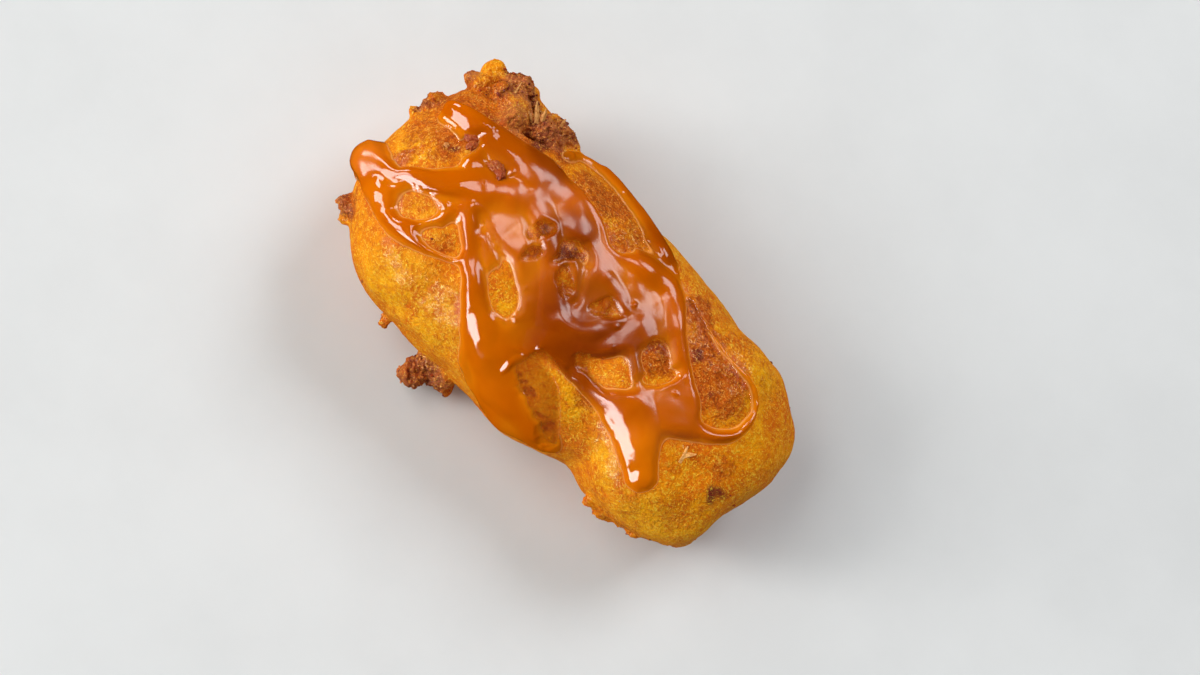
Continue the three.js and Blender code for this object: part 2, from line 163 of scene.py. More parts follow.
# Strands of sauce as they were poured: x, y and half width along each, all on the upper side
STRANDS = [
    [
        (-48.4, 8.8, 3.4), (-44.8, 9.2, 3.9), (-40.9, 9.9, 4.4), (-35.2, 10.7, 5), (-29.6, 12, 5.9),
        (-24, 12.8, 6), (-12.7, 11.3, 5.5),
    ],
    [(-41, 7.8, 3), (-38, 4.8, 3), (-34, 1.5, 4)],
    [(-45.4, -14.4, 2.2), (-44.4, -12.4, 1.9), (-43.6, -10.5, 1.6)],
    [(-36.4, -8.6, 1.5), (-34.4, -7.4, 2.2)],
    [(-24, -6.5, 2.5), (-20, -8.2, 2.6), (-17.8, -9.2, 1.7)],
    [
        (-53.7, -8.9, 4.9), (-51, -10.2, 4.2), (-46.5, -10.2, 2.9), (-44.1, -8, 2.7),
        (-39.6, -5.3, 3.6), (-33.4, 0.2, 4.6), (-28.6, 4.3, 4.8),
    ],
    [
        (-53, -10.2, 4.6), (-49.3, -12.7, 4), (-45.5, -14.8, 3.7), (-41.9, -15.8, 3.7),
        (-38, -16.5, 3.7), (-34.1, -16.5, 3.1), (-30.6, -16.4, 1.7), (-27.2, -15.2, 1.2),
        (-24.9, -14.1, 1), (-23.3, -12.7, 1),
    ],
    [
        (-37.5, -17, 2.4), (-35, -14.8, 2.3), (-33.2, -11.4, 2.2), (-32.5, -7, 2.4),
        (-31.1, -3.1, 2.8),
    ],
    [
        (-31.2, -4.5, 2.4), (-25.1, -8.6, 2.8), (-18.4, -13.9, 3.1), (-12, -18.5, 3.9),
        (-4.4, -21.9, 5.2),
    ],
    [
        (-26.9, 1.3, 5.2), (-21.9, -1.3, 4.8), (-16.8, -2.4, 3.9), (-12.4, -3.5, 3.9),
        (-5.1, -8.1, 4.4), (-1.8, -12.3, 5.2),
    ],
    [
        (-21.9, 7.1, 4.8), (-16.9, 6.1, 3.9), (-13.5, 3.4, 3.1), (-9.5, -0.3, 3.1), (-4.4, -4, 3.5),
        (0.3, -7, 4.4),
    ],
    [
        (-17.9, 12.7, 5.7), (-7, 11.9, 3.9), (-2.6, 9.7, 4.1), (-0.4, 5.5, 4.4), (2.5, 1.1, 4.4),
        (4.4, -3.9, 5.2),
    ],
    [(-11, 1.6, 2.2), (-8, 4.4, 2.2), (-5.2, 3, 2.4), (-3, -0.5, 2.6)],
    [(-3, 10.4, 3.9), (3.1, 9.6, 4.8), (8, 8.9, 4.8), (12.2, 7.9, 3.9)],
    [
        (-8.6, -19.3, 5.2), (-3.6, -14.1, 4.8), (-0.2, -9, 5.2), (4.5, -4.4, 5.7), (9.7, -0.4, 4.8),
        (15.1, 11.2, 4.4),
    ],
    [(13.9, 2.2, 2), (18.5, -1, 1.7), (22.1, -3.2, 2.2)],
    [
        (-25.3, 21.4, 1.9), (-23.7, 24.6, 1.8), (-17.3, 26.4, 2.4), (-9.7, 25.8, 3),
        (-1.9, 23.8, 3.3), (8.3, 21.1, 3.1),
    ],
    [
        (-0.1, 13.7, 4.4), (4.3, 15.6, 4.8), (9.5, 16, 5.2), (13.7, 13.8, 4.4), (21.5, 9.3, 2.6),
        (31.3, 1.6, 3.5),
    ],
    [
        (3.7, -9.4, 4.8), (9.4, -10, 3.3), (14.6, -10.4, 2.6), (19, -10, 3.1), (26.7, -9.1, 6.1),
        (31.6, -12, 4.9), (35.6, -14.6, 4.1),
    ],
    [(21.5, -7, 3.5), (24.1, -3.5, 4.8), (27.3, -0.5, 5.2), (30.2, 1.4, 4.4)],
    [
        (27.7, -3.8, 5.7), (31.1, -2, 4.8), (34.2, -0.7, 3.6), (37.1, 0.5, 2.6), (39.8, 2.3, 2.1),
        (42, 4.9, 1.9), (43, 8.1, 1.7), (42.9, 11.2, 1.5), (41.6, 14, 1.3), (39.3, 16.1, 1.2),
        (36.4, 16.9, 1.1), (33.4, 16.7, 1), (30.6, 16.6, 0.9), (26.4, 17.2, 0.8), (21.6, 18, 0.9),
        (15.3, 19.6, 1.5),
    ],
    [(-3.2, -22.3, 7.4), (4.7, -24.6, 8), (9.6, -24, 7.6), (14.6, -23.1, 6), (17.5, -22.3, 3.4)],
    [(3.5, -18.6, 4.8), (7.9, -19.7, 5.7), (13.3, -21.1, 3.5)],
]

# Crests that stand over the pool of sauce: x, y, half width and height along each
CRESTS = [
    [
        (-49.5, 10.6, 2.7, 2.2), (-46, 10.8, 2.9, 2.6), (-42.5, 11, 3.2, 2.4),
        (-38, 11.4, 3.6, 1.5), (-30.2, 12.1, 4.4, 1), (-19, 12.9, 3.9, 0.8),
        (-10.6, 11.4, 3.1, 0.5),
    ],
    [
        (-51.7, -10.5, 3.1, 1.1), (-48.3, -9.1, 2.4, 0.9), (-45.6, -7.3, 2.2, 0.9),
        (-42.7, -6.5, 2.4, 1), (-38.9, -5.2, 2.8, 1), (-32.2, 0.6, 3.5, 0.8),
        (-26.3, 5.2, 3.5, 0.4),
    ],
    [
        (-51.3, -12.2, 3, 1), (-48.8, -13.5, 3, 1), (-45.3, -14.7, 3, 0.9),
        (-41.5, -15.6, 2.9, 0.9), (-38, -16, 2.8, 0.9), (-34, -16.3, 2.4, 0.8),
        (-27.2, -15.3, 1.1, 0.5),
    ],
    [
        (-29.6, -4.1, 2.6, 0.8), (-25.8, -9.6, 2.8, 0.9), (-21.4, -13, 2.8, 1),
        (-15.1, -16.6, 3.1, 1.1), (-7.4, -20.8, 3.7, 1), (1.4, -23.6, 3.9, 0.8),
    ],
    [(1.4, -23.6, 3.9, 0.8), (9.5, -23.3, 3.5, 0.6), (15.9, -22.5, 2, 0.4)],
    [
        (-22.2, 8.7, 3.1, 0.6), (-15.6, 4.2, 2.6, 0.8), (-8.4, -0.6, 2.6, 0.8),
        (-1.7, -6.9, 3.1, 0.7),
    ],
    [
        (-23.4, 18.7, 2.2, 0.6), (-16, 18, 2.2, 0.8), (-9.6, 16.4, 2.2, 0.8),
        (-2.8, 14.7, 2.4, 0.8), (5.2, 16.4, 2.6, 0.9),
    ],
    [(5.2, 16.4, 2.6, 0.9), (12.2, 16.5, 2.6, 0.9), (20.7, 10.2, 2.2, 0.8), (27.5, 7.2, 1.6, 0.6)],
    [
        (-4.4, -4, 1.7, 0.5), (1.8, -6.1, 2, 0.7), (6.2, -3.2, 2, 0.7), (7.8, 2.6, 2, 0.7),
        (5.1, 7, 1.7, 0.6), (0.5, 7.8, 1.7, 0.5),
    ],
    [
        (12.4, -9.8, 2.8, 0.9), (18.5, -8.4, 3.2, 0.9), (22.5, -7.4, 3.8, 0.9),
        (27.9, -8.6, 4.2, 0.9), (32.8, -11.8, 4, 0.9), (36, -14, 3.2, 0.8),
    ],
    [
        (28.5, 8.6, 1.3, 0.5), (32.5, 5, 1.3, 0.6), (36.5, 1.6, 1.5, 0.8), (40.4, 2.8, 2, 0.8),
        (43, 8.1, 1.7, 0.6), (41.6, 14, 1.3, 0.5),
    ],
    [(-4, -19, 3.5, 0.5), (1.5, -11.8, 3.1, 0.5), (9.8, -3.5, 3.1, 0.6), (13, 5.4, 3.1, 0.6)],
    [(-17.3, 26.9, 1.7, 0.5), (-9.7, 26.3, 2, 0.6), (-1.9, 24.3, 2.2, 0.7), (4.4, 22, 2.2, 0.7)],
    [(28.5, 4.5, 5.5, 0.9), (31, 2, 6, 1.1), (33.5, -1, 5.5, 0.9)],
    [
        (-0.5, -20.6, 0.9, 0.6), (-0.5, -17.8, 0.9, 0.6), (0.6, -15.2, 0.9, 0.6),
        (3.5, -13, 0.9, 0.6), (7.5, -11.6, 0.9, 0.4),
    ],
]

# Openings in the sauce, where crust shows: x, y, half length, half width and turn in degrees
OPENINGS = [
    (-38.2, -11.6, 3.7, 2.5, 38), (-29.4, -13, 3.9, 2.2, 18), (-41.2, 4.6, 3.3, 1.6, 79),
    (-12.6, -11.4, 2.4, 5, 63), (23, 2.1, 3.5, 1.4, 64), (16.6, -5.4, 3.4, 1.9, 20),
    (-12.3, 19.8, 2.6, 10.9, 86), (-4.8, 17.1, 2.8, 3.7, 68), (10.3, 22.2, 0.7, 1.5, 59),
    (33.6, 10.8, 4.6, 8.3, 70), (24.4, 12.8, 1.7, 7.9, 61),
]

# Places where the sauce is only a film: x, y, half length, half width and turn in degrees
FILMS = [
    (5.2, -16.9, 4.7, 4.2, 0), (9.6, -18.8, 4.6, 3.1, -25), (14.2, -20.6, 3.4, 2.0, -25),
    (4.4, 3.1, 3, 2.1, 40), (-16.9, 4, 2.6, 1.8, 52), (-14.7, -1.2, 2.4, 1.3, 80),
    (-9.5, 5.5, 3.9, 1.7, 78), (-5.8, 0.4, 3.2, 1.8, -42), (19.1, 17.8, 1.3, 3.5, 68),
    (20.1, 4, 4.8, 2.7, -42), (12.8, -6.7, 4.6, 2.4, 20), (-11.2, 22.1, 8, 1.7, -14),
]

# Bubbles that have burst into rings: x, y, radius and height
RINGS = [(-15.6, -8.5, 1.3, 0.35), (-25.4, 21.1, 1.5, 0.3), (10.3, 22.2, 1.0, 0.3)]

# Whole bubbles just under the surface: x, y, radius and height
BUBBLES = [
    (7.6, 8.3, 0.9, 0.5), (8.9, 1.9, 0.7, 0.5), (11.5, -1.6, 0.6, 0.35), (27.5, 1.5, 0.5, 0.35),
    (0.9, -12.5, 0.6, 0.3), (-6.7, -12.3, 0.9, 0.4), (16.5, -21.4, 0.7, 0.4),
    (-30.3, 7.4, 0.6, 0.45), (19.2, -2.8, 0.5, 0.3), (-9.8, -7, 0.4, 0.25),
]

# Where the sauce looks darkest, where its reflections are softest and where it is painted brighter for
# light
# shining through it: x, y, z, reach and strength
DEEP = [
    (5, -4.8, 36.6, 14, 0.9), (-27.5, 17, 33.6, 7, 0.8), (1.9, 21.8, 32.6, 6, 0.7),
    (-35.8, 10.1, 35, 8, 0.4), (10.8, -1.5, 36.8, 10, 0.8), (-11.5, 7.2, 38.1, 7, 0.8),
    (12.8, 5.8, 36.2, 7, 0.6),
]
SOFT = [(-12, 5, 37, 20), (12, 2, 37, 16), (30, -2, 35, 10), (-54, -10.5, 26, 5.5)]
PAINTED_GLOW = [
    (-53.1, -9.5, 24.3, 6, 1.0), (-45, -15.5, 29, 5, 0.7), (33, -13, 34.1, 8, 1.0),
    (-10.8, -20, 32.4, 8, 0.4), (-2.4, -24.9, 25.7, 8, 0.4),
]
DRIP = (-54.6, -9.3, 22.5, 5.2)  # where sauce gathers at the burst end: x, y, z and reach

# Pale shards of batter that stick up: x, y, length, half width, turn and lift in degrees
SHARDS = [
    (38.9, -6.9, 3.9, 0.8, 103, 12), (38.6, -5.1, 2.8, 0.65, 48, 18),
    (38.4, -4.8, 1.8, 0.5, 150, 14), (-35.2, 21.8, 5.2, 0.75, 152, 42),
    (-34.9, 22.6, 3.4, 0.6, 120, 55), (-35.8, 21.2, 3.0, 0.5, 172, 30),
    (-41.8, 18.8, 8.5, 0.17, 110, -22), (-31.6, 26, 2.2, 0.5, 100, 45),
]

# Larger scraps of batter that lie on the sauce and beside it: x, y, half length, width and height, turn in
# degrees, and shade from 0 for scorched to 1 for amber
SCRAPS = [
    (-33.2, 6.3, 2.3, 1.5, 1.2, 15, 0.55), (-31.6, 5.6, 1.6, 1.3, 1.1, -30, 0.45),
    (-41.6, 7.6, 2.0, 1.4, 1.1, 30, 0.5), (-40.4, 6.2, 1.6, 1.2, 1.0, 80, 0.53),
    (-44.2, 2.6, 0.8, 0.6, 0.6, 10, 0.9),
]


# Settings

class CrustSettings(bpy.types.PropertyGroup):
    cell: length_property("Cell", "Size of the crust's mesh cells", 0.5)
    smoothing: IntProperty(
        name="Smoothing", description="Passes that round off the CAD solid's facets", default=9
    )
    swell: length_property("Swell", "Height of the crust's broad bumps", 0.32)
    swell_size: length_property("Swell size", "Distance between broad bumps", 6.5)
    blister: length_property("Blisters", "Height of the small blisters where the crust is well fried", 0.32)
    blister_size: length_property("Blister size", "Distance between blisters", 1.6)
    crag: length_property("Crags", "Height of the crags where the crust is torn", 1.5)
    crag_size: length_property("Crag size", "Distance between crags", 2.3)
    golden: colour_property("Golden", "Most of the crust", 234, 142, 0)
    pale: colour_property("Pale", "The least fried parts", 248, 174, 6)
    # Amber is also the painted shade low on the crust's sides
    amber: colour_property("Amber", "Slightly darker patches", 212, 98, 4)
    brown: colour_property("Brown", "Well fried patches", 184, 80, 6)
    scorched: colour_property("Scorched", "The darkest spots and the torn corner", 104, 34, 28)
    tan: colour_property("Tan", "Dry crumb inside the torn corner", 196, 118, 58)


class BarSettings(bpy.types.PropertyGroup):
    cell: length_property("Cell", "Size of the bar's mesh cells", 0.8)
    dent: length_property("Dents", "Depth of the bar's unevenness", 0.12)
    dent_size: length_property("Dent size", "Distance between dents", 3.0)
    chocolate: colour_property("Chocolate", "Melted chocolate coating", 88, 44, 26)
    nougat: colour_property("Nougat", "Filling that shows through", 150, 96, 54)


class SauceSettings(bpy.types.PropertyGroup):
    cell: length_property("Cell", "Size of the sauce's mesh cells", 0.3)
    edge: length_property("Edge height", "How high the sauce's rounded edge stands", 1.2)
    edge_width: length_property("Edge width", "How far in the rounding reaches", 2.5)
    crest: number_property("Crests", "Height of the crests, as a share of the table's", 0.85)
    breadth: number_property("Breadth", "Half width of the crests, as a share of the table's", 1.25)
    ripple: length_property("Ripples", "Height of the surface's slow waves", 0.38)
    settling: length_property("Settling", "How far the sauce evens out the crust's bumps", 1.5)
    skirt: length_property("Skirt", "How far the underside is sunk into the crust", 0.5)
    drip: length_property("Drip", "Extra depth where sauce gathers at the burst end", 3.4)
    # Painted light: the colour that stands for light shining through the thick sauce
    thick: colour_property("Thick sauce", "Colour of the sauce", 198, 92, 0)
    bright: colour_property("Bright sauce", "Colour where light comes through", 226, 118, 4)
    deep: colour_property("Deep sauce", "Colour where the sauce is deepest", 136, 50, 0)
    thin: colour_property("Thin sauce", "Colour at thin edges", 236, 138, 12)


class CrumbSettings(bpy.types.PropertyGroup):
    density: number_property("Density", "Crumbs to a square metre where crags are", 170000)
    smallest: length_property("Smallest", "Radius of the smallest crumbs", 0.16)
    largest: length_property("Largest", "Radius of the largest crumbs", 0.58)
    seed: IntProperty(name="Seed", description="Changes where the crumbs fall", default=4)


class StageSettings(bpy.types.PropertyGroup):
    distance: length_property("Camera distance", "From the camera to the point it looks at", 618.6)
    lens: FloatProperty(name="Lens", description="Focal length", default=85, unit="CAMERA")
    elevation: angle_property("Elevation", "How far above the level the camera is", 74)
    roll: angle_property("Roll", "How far the picture is turned", 47.7)
    window: number_property("Window", "Watts of the window low to the left", 33.0)
    gleam: number_property("Gleam", "Watts of the window as it shows in reflections", 70.0)
    glow: number_property("Glow", "Watts of a second window, up and to the left, in reflections", 26.0)
    sheen: number_property("Sheen", "Watts of the soft light overhead, in reflections", 9.5)
    skylight: number_property("Skylight", "Watts of the soft light high to the left", 26.0)
    panel: number_property("Panel", "Watts of the soft panel to the right", 33.0)
    walls: number_property("Walls", "Brightness of the room near the level", 0.5)
    ceiling: number_property("Ceiling", "Brightness of the room overhead", 0.1)
    floor: colour_property("Floor", "The plain pale floor", 227, 229, 229)


# Mesh helpers

def coordinates(mesh):
    """The mesh's points in millimetres, one row each."""
    flat = np.empty(len(mesh.vertices) * 3, np.float32)
    mesh.vertices.foreach_get("co", flat)
    return flat.reshape(-1, 3).astype(float) / MM


def normals(mesh):
    """The outward direction at each of the mesh's points."""
    flat = np.empty(len(mesh.vertices) * 3, np.float32)
    mesh.vertices.foreach_get("normal", flat)
    return flat.reshape(-1, 3).astype(float)


def set_coordinates(mesh, points):
    mesh.vertices.foreach_set("co", (points * MM).astype(np.float32).ravel())
    mesh.update()


def set_attribute(mesh, name, values):
    """Stores one number for each point, for the shaders."""
    attribute = mesh.attributes.get(name) or mesh.attributes.new(name, "FLOAT", "POINT")
    attribute.data.foreach_set("value", np.asarray(values, np.float32))


def link_object(name, mesh):
    made = bpy.data.objects.new(name, mesh)
    bpy.context.scene.collection.objects.link(made)
    return made


def merged_copy(node, name):
    """A new object with the CAD node's shape, its loose triangles merged."""
    mesh = node.data.copy()
    mesh.materials.clear()
    work = bmesh.new()
    work.from_mesh(mesh)
    bmesh.ops.remove_doubles(work, verts=work.verts, dist=1e-6)
    work.to_mesh(mesh)
    work.free()
    return link_object(name, mesh)


def apply_modifiers(made):
    """Replaces the object's mesh by what its modifiers make of it."""
    bpy.context.view_layer.update()
    evaluated = made.evaluated_get(bpy.context.evaluated_depsgraph_get())
    mesh = bpy.data.meshes.new_from_object(evaluated)
    made.modifiers.clear()
    made.data = mesh
    made.vertex_groups.clear()


def remesh(made, cell):
    """Gives the object even cells."""
    cells = made.modifiers.new("cells", "REMESH")
    cells.mode = "VOXEL"
    cells.voxel_size = cell
    apply_modifiers(made)


def round_off(made, passes, weights=None):
    """Rounds off the object's facets, more where the weights are higher."""
    smooth = made.modifiers.new("rounding", "SMOOTH")
    smooth.factor = 0.5
    smooth.iterations = passes
    if weights is not None:
        weigh(made, smooth, weights)
    apply_modifiers(made)


def weigh(made, modifier, weights):
    """Gives a modifier the weights, rounded to tenths, as its vertex group."""
    group = made.vertex_groups.new(name=modifier.name)
    tenths = np.round(np.clip(weights, 0, 1) * 10).astype(int)
    for tenth in range(1, 11):
        group.add(np.nonzero(tenths == tenth)[0].tolist(), tenth / 10, "REPLACE")
    modifier.vertex_group = group.name


def thin_out(made, weights, triangles):
    """Brings the object down to a number of triangles, with fewer where the weights are 1."""
    made.data.calc_loop_triangles()
    ratio = triangles / len(made.data.loop_triangles)
    if ratio < 1:
        thin = made.modifiers.new("thin", "DECIMATE")
        thin.ratio = ratio
        weigh(made, thin, weights)
        apply_modifiers(made)


def refine(mesh, chosen):
    """Halves the cells whose corners are all chosen."""
    work = bmesh.new()
    work.from_mesh(mesh)
    work.verts.ensure_lookup_table()
    edges = [e for e in work.edges if chosen[e.verts[0].index] and chosen[e.verts[1].index]]
    bmesh.ops.subdivide_edges(work, edges=edges, cuts=1, use_grid_fill=True)
    work.to_mesh(mesh)
    work.free()


def shade_smooth(mesh):
    mesh.polygons.foreach_set("use_smooth", np.ones(len(mesh.polygons), bool))
    mesh.update()


def surface_tree(mesh):
    """For ray casts, in metres."""
    return BVHTree.FromPolygons([v.co for v in mesh.vertices], [p.vertices for p in mesh.polygons])


# Fields over points in millimetres

def smooth_step(low, high, values):
    t = np.clip((values - low) / (high - low), 0, 1)
    return t * t * (3 - 2 * t)


def waves(points, size, shift=0.0):
    """Smooth noise of about -1 to 1, with bumps about size apart."""
    scaled = points / size + shift
    return np.array([noise.noise(p) for p in scaled.tolist()]) * 1.6


def ridges(points, size, shift=0.0):
    """Sharp-crested noise of about 0 to 1."""
    scaled = points / size + shift
    made = np.array([noise.ridged_multi_fractal(p, 0.9, 2.1, 4, 1.0, 2.0) for p in scaled.tolist()])
    return np.clip(made / 2.2, 0, 1.3)


def blisters(points, size):
    """Round bumps packed side by side, 0 to 1."""
    scaled = points / size
    near = np.array([noise.voronoi(p, distance_metric="DISTANCE")[0][0] for p in scaled.tolist()])
    return np.clip(1 - near * near * 1.6, 0, 1)


def nearness(points, places):
    """From 1 near a place to 0 past its reach. A place is x, y, z, reach and maybe strength."""
    found = np.zeros(len(points))
    for x, y, z, reach, *strength in places:
        away = np.linalg.norm(points - (x, y, z), axis=1) / reach
        found = np.maximum(found, smooth_step(1.35, 0.5, away) * (strength[0] if strength else 1))
    return found


def seen_from_above(tree, x, y):
    """The surface's highest point at a place in plan, in metres, or None."""
    return tree.ray_cast(Vector((x, y, OVERHEAD)) * MM, DOWN)[0]


def top_point(tree, x, y):
    """The surface's highest point at a place in plan, in millimetres."""
    hit = seen_from_above(tree, x, y)
    if hit is None:
        raise ValueError(f"nothing lies under x {x}, y {y}")
    return np.array(hit) / MM


# The sauce's cover

def smooth_largest(values, blend):
    """The largest of several arrays, rounded off where two are within blend of each other."""
    result = values[0]
    for value in values[1:]:
        overlap = np.maximum(blend - np.abs(result - value), 0) / blend
        result = np.maximum(result, value) + overlap * overlap * blend / 4
    return result


def laid_path(rows, tree, steps=4):
    """A strand's points on the crust and its other numbers, on a smooth curve through the given rows."""
    given = np.array(rows, float)
    padded = np.vstack([2 * given[0] - given[1], given, 2 * given[-1] - given[-2]])
    smooth = []
    for i in range(1, len(padded) - 2):
        a, b, c, d = padded[i - 1 : i + 3]
        for t in np.linspace(0, 1, steps, endpoint=False):
            bend = (2 * a - 5 * b + 4 * c - d) * t**2 + (3 * b - a - 3 * c + d) * t**3
            smooth.append(0.5 * (2 * b + (c - a) * t + bend))
    smooth.append(given[-1])
    places = np.array([top_point(tree, row[0], row[1]) for row in smooth])
    return places, np.array(smooth)[:, 2:]


def laid_paths(table, tree):
    return [laid_path(rows, tree) for rows in table]


def along_path(points, path):
    """For each step of a path, every point's distance from it and its numbers at the nearest place."""
    places, numbers = path
    for start, end, first, last in zip(places[:-1], places[1:], numbers[:-1], numbers[1:]):
        run = end - start
        t = np.clip((points - start) @ run / (run @ run), 0, 1)
        away = np.linalg.norm(points - start - t[:, None] * run, axis=1)
        yield away, first + (last - first) * t[:, None]


def inside_strand(points, path):
    """How far inside one strand each point is, in millimetres."""
    inside = np.full(len(points), -1e3)
    for away, numbers in along_path(points, path):
        inside = np.maximum(inside, numbers[:, 0] - away)
    return inside


def crest_height(points, paths, breadth):
    """How high the crests stand, in millimetres, melted into each other where they meet."""
    height = np.zeros(len(points))
    for path in paths:
        crest = np.zeros(len(points))
        for away, numbers in along_path(points, path):
            hump = numbers[:, 1] * np.clip(1 - (away / (numbers[:, 0] * breadth)) ** 2, 0, 1) ** 1.4
            crest = np.maximum(crest, hump)
        height = (height**3 + crest**3) ** (1 / 3)
    return height


def oval_distance(points, oval):
    """How far outside an upright oval each point is, in millimetres, less than 0 inside it."""
    x, y, half_length, half_width, turn = oval
    angle = math.radians(turn)
    dx = points[:, 0] - x
    dy = points[:, 1] - y
    along = (dx * math.cos(angle) + dy * math.sin(angle)) / half_length
    across = (dy * math.cos(angle) - dx * math.sin(angle)) / half_width
    return (np.hypot(along, across) - 1) * math.sqrt(half_length * half_width)


def sauce_cover(points, paths):
    """How far inside the sauce each point is, in millimetres."""
    cover = smooth_largest([inside_strand(points, path) for path in paths], 2.0)
    cover = cover + 0.22 * waves(points, 4.5, 7.7) + 0.1 * waves(points, 1.9, 3.1)
    for opening in OPENINGS:
        gap = oval_distance(points, opening) + 0.2 * waves(points, 2.2, 11.0)
        cover = -smooth_largest([-cover, -gap], 0.6)
    return cover


def filminess(points):
    """1 where the sauce is only a film, 0 elsewhere."""
    found = np.zeros(len(points))
    uneven = 0.7 * waves(points, 3.0, 4.4) + 0.25 * waves(points, 1.1, 9.4)
    for film in FILMS:
        found = np.maximum(found, smooth_step(0.9, -0.9, oval_distance(points, film) + uneven))
    return found


def bubble_height(points):
    """How high the bubbles stand, in millimetres, with uneven outlines."""
    height = np.zeros(len(points))
    points = points + 0.5 * np.stack([waves(points, 2.2, shift) for shift in (2.0, 8.0, 5.0)], axis=1)
    for x, y, radius, rise in RINGS:
        away = np.hypot(points[:, 0] - x, points[:, 1] - y)
        height += rise * np.exp(-(((away - radius) / 0.42) ** 2))
    for x, y, radius, rise in BUBBLES:
        away = np.hypot(points[:, 0] - x, points[:, 1] - y) / radius
        height += rise * np.exp(-(away**2) * 1.5)
    return height


# Shader helpers

class Number:
    """A shader socket that holds a number. Python's operators on it add Math nodes."""

    def __init__(self, finish, socket):
        self.finish = finish
        self.socket = socket

    def math(self, operation, *values):
        made = self.finish.node("ShaderNodeMath", {"operation": operation}, dict(enumerate(values)))
        return Number(self.finish, made.outputs[0])

    def __add__(self, other):
        return self.math("ADD", self, other)

    def __sub__(self, other):
        return self.math("SUBTRACT", self, other)

    def __rsub__(self, other):
        return self.math("SUBTRACT", other, self)

    def __mul__(self, other):
        return self.math("MULTIPLY", self, other)

    __radd__ = __add__
    __rmul__ = __mul__

    def largest(self, other):
        return self.math("MAXIMUM", self, other)

    def near(self, value, reach):
        """1 at the value, and 0 where it is more than reach away."""
        return 1 - self.math("ABSOLUTE", self - value).between(0, reach)

    def between(self, low, high):
        """0 below low, 1 above high and a smooth rise between."""
        settings = {"interpolation_type": "SMOOTHSTEP"}
        inputs = {"Value": self, "From Min": low, "From Max": high}
        return Number(self.finish, self.finish.node("ShaderNodeMapRange", settings, inputs).outputs[0])


class Nodes:
    """A tree of nodes as it is built up from nothing."""

    def __init__(self, tree):
        self.tree = tree
        tree.nodes.clear()

    def node(self, kind, settings=None, inputs=None):
        """A new node with its settings made first and then its sockets given values or links."""
        made = self.tree.nodes.new(kind)
        for key, value in (settings or {}).items():
            setattr(made, key, value)
        for key, value in (inputs or {}).items():
            value = value.socket if isinstance(value, Number) else value
            if isinstance(value, bpy.types.NodeSocket):
                self.tree.links.new(value, made.inputs[key])
            else:
                made.inputs[key].default_value = value
        return made


class Finish(Nodes):
    """One material and the nodes it is made of."""

    def __init__(self, name):
        self.material = bpy.data.materials.new(name)
        self.material.use_nodes = True
        super().__init__(self.material.node_tree)
        self.place = self.node("ShaderNodeTexCoord").outputs["Object"]

    def stored(self, name):
        """A number that the mesh holds for each point."""
        made = self.node("ShaderNodeAttribute", {"attribute_name": name})
        return Number(self, made.outputs["Fac"])

    def cloud(self, size, detail=2.0, roughness=0.5, distortion=0.0):
        """Noise of about 0 to 1 with spots about size metres apart."""
        inputs = {
            "Vector": self.place,
            "Scale": 1 / size,
            "Detail": detail,
            "Roughness": roughness,
            "Distortion": distortion,
        }
        return Number(self, self.node("ShaderNodeTexNoise", {}, inputs).outputs["Fac"])

    def cells(self, size):
        """The distance to the nearest of many points, about size metres apart."""
        inputs = {"Vector": self.place, "Scale": 1 / size, "Randomness": 1.0}
        made = self.node("ShaderNodeTexVoronoi", {"feature": "F1"}, inputs)
        return Number(self, made.outputs["Distance"])

    def mix(self, first, second, factor, blend="MIX"):
        """Two colours mixed."""
        settings = {"data_type": "RGBA", "blend_type": blend, "clamp_factor": True}
        return self.node("ShaderNodeMix", settings, {0: factor, 6: first, 7: second}).outputs[2]

    def bump(self, height, distance, strength=1.0, under=None):
        inputs = {"Height": height, "Distance": distance, "Strength": strength}
        if under is not None:
            inputs["Normal"] = under
        return self.node("ShaderNodeBump", {}, inputs).outputs["Normal"]

    def surface(self, **inputs):
        """The Principled shader with sockets named in words, and the material it completes."""
        named = {key.replace("_", " "): value for key, value in inputs.items()}
        shader = self.node("ShaderNodeBsdfPrincipled", {}, named)
        self.node("ShaderNodeOutputMaterial", {}, {"Surface": shader.outputs[0]})
        return self.material


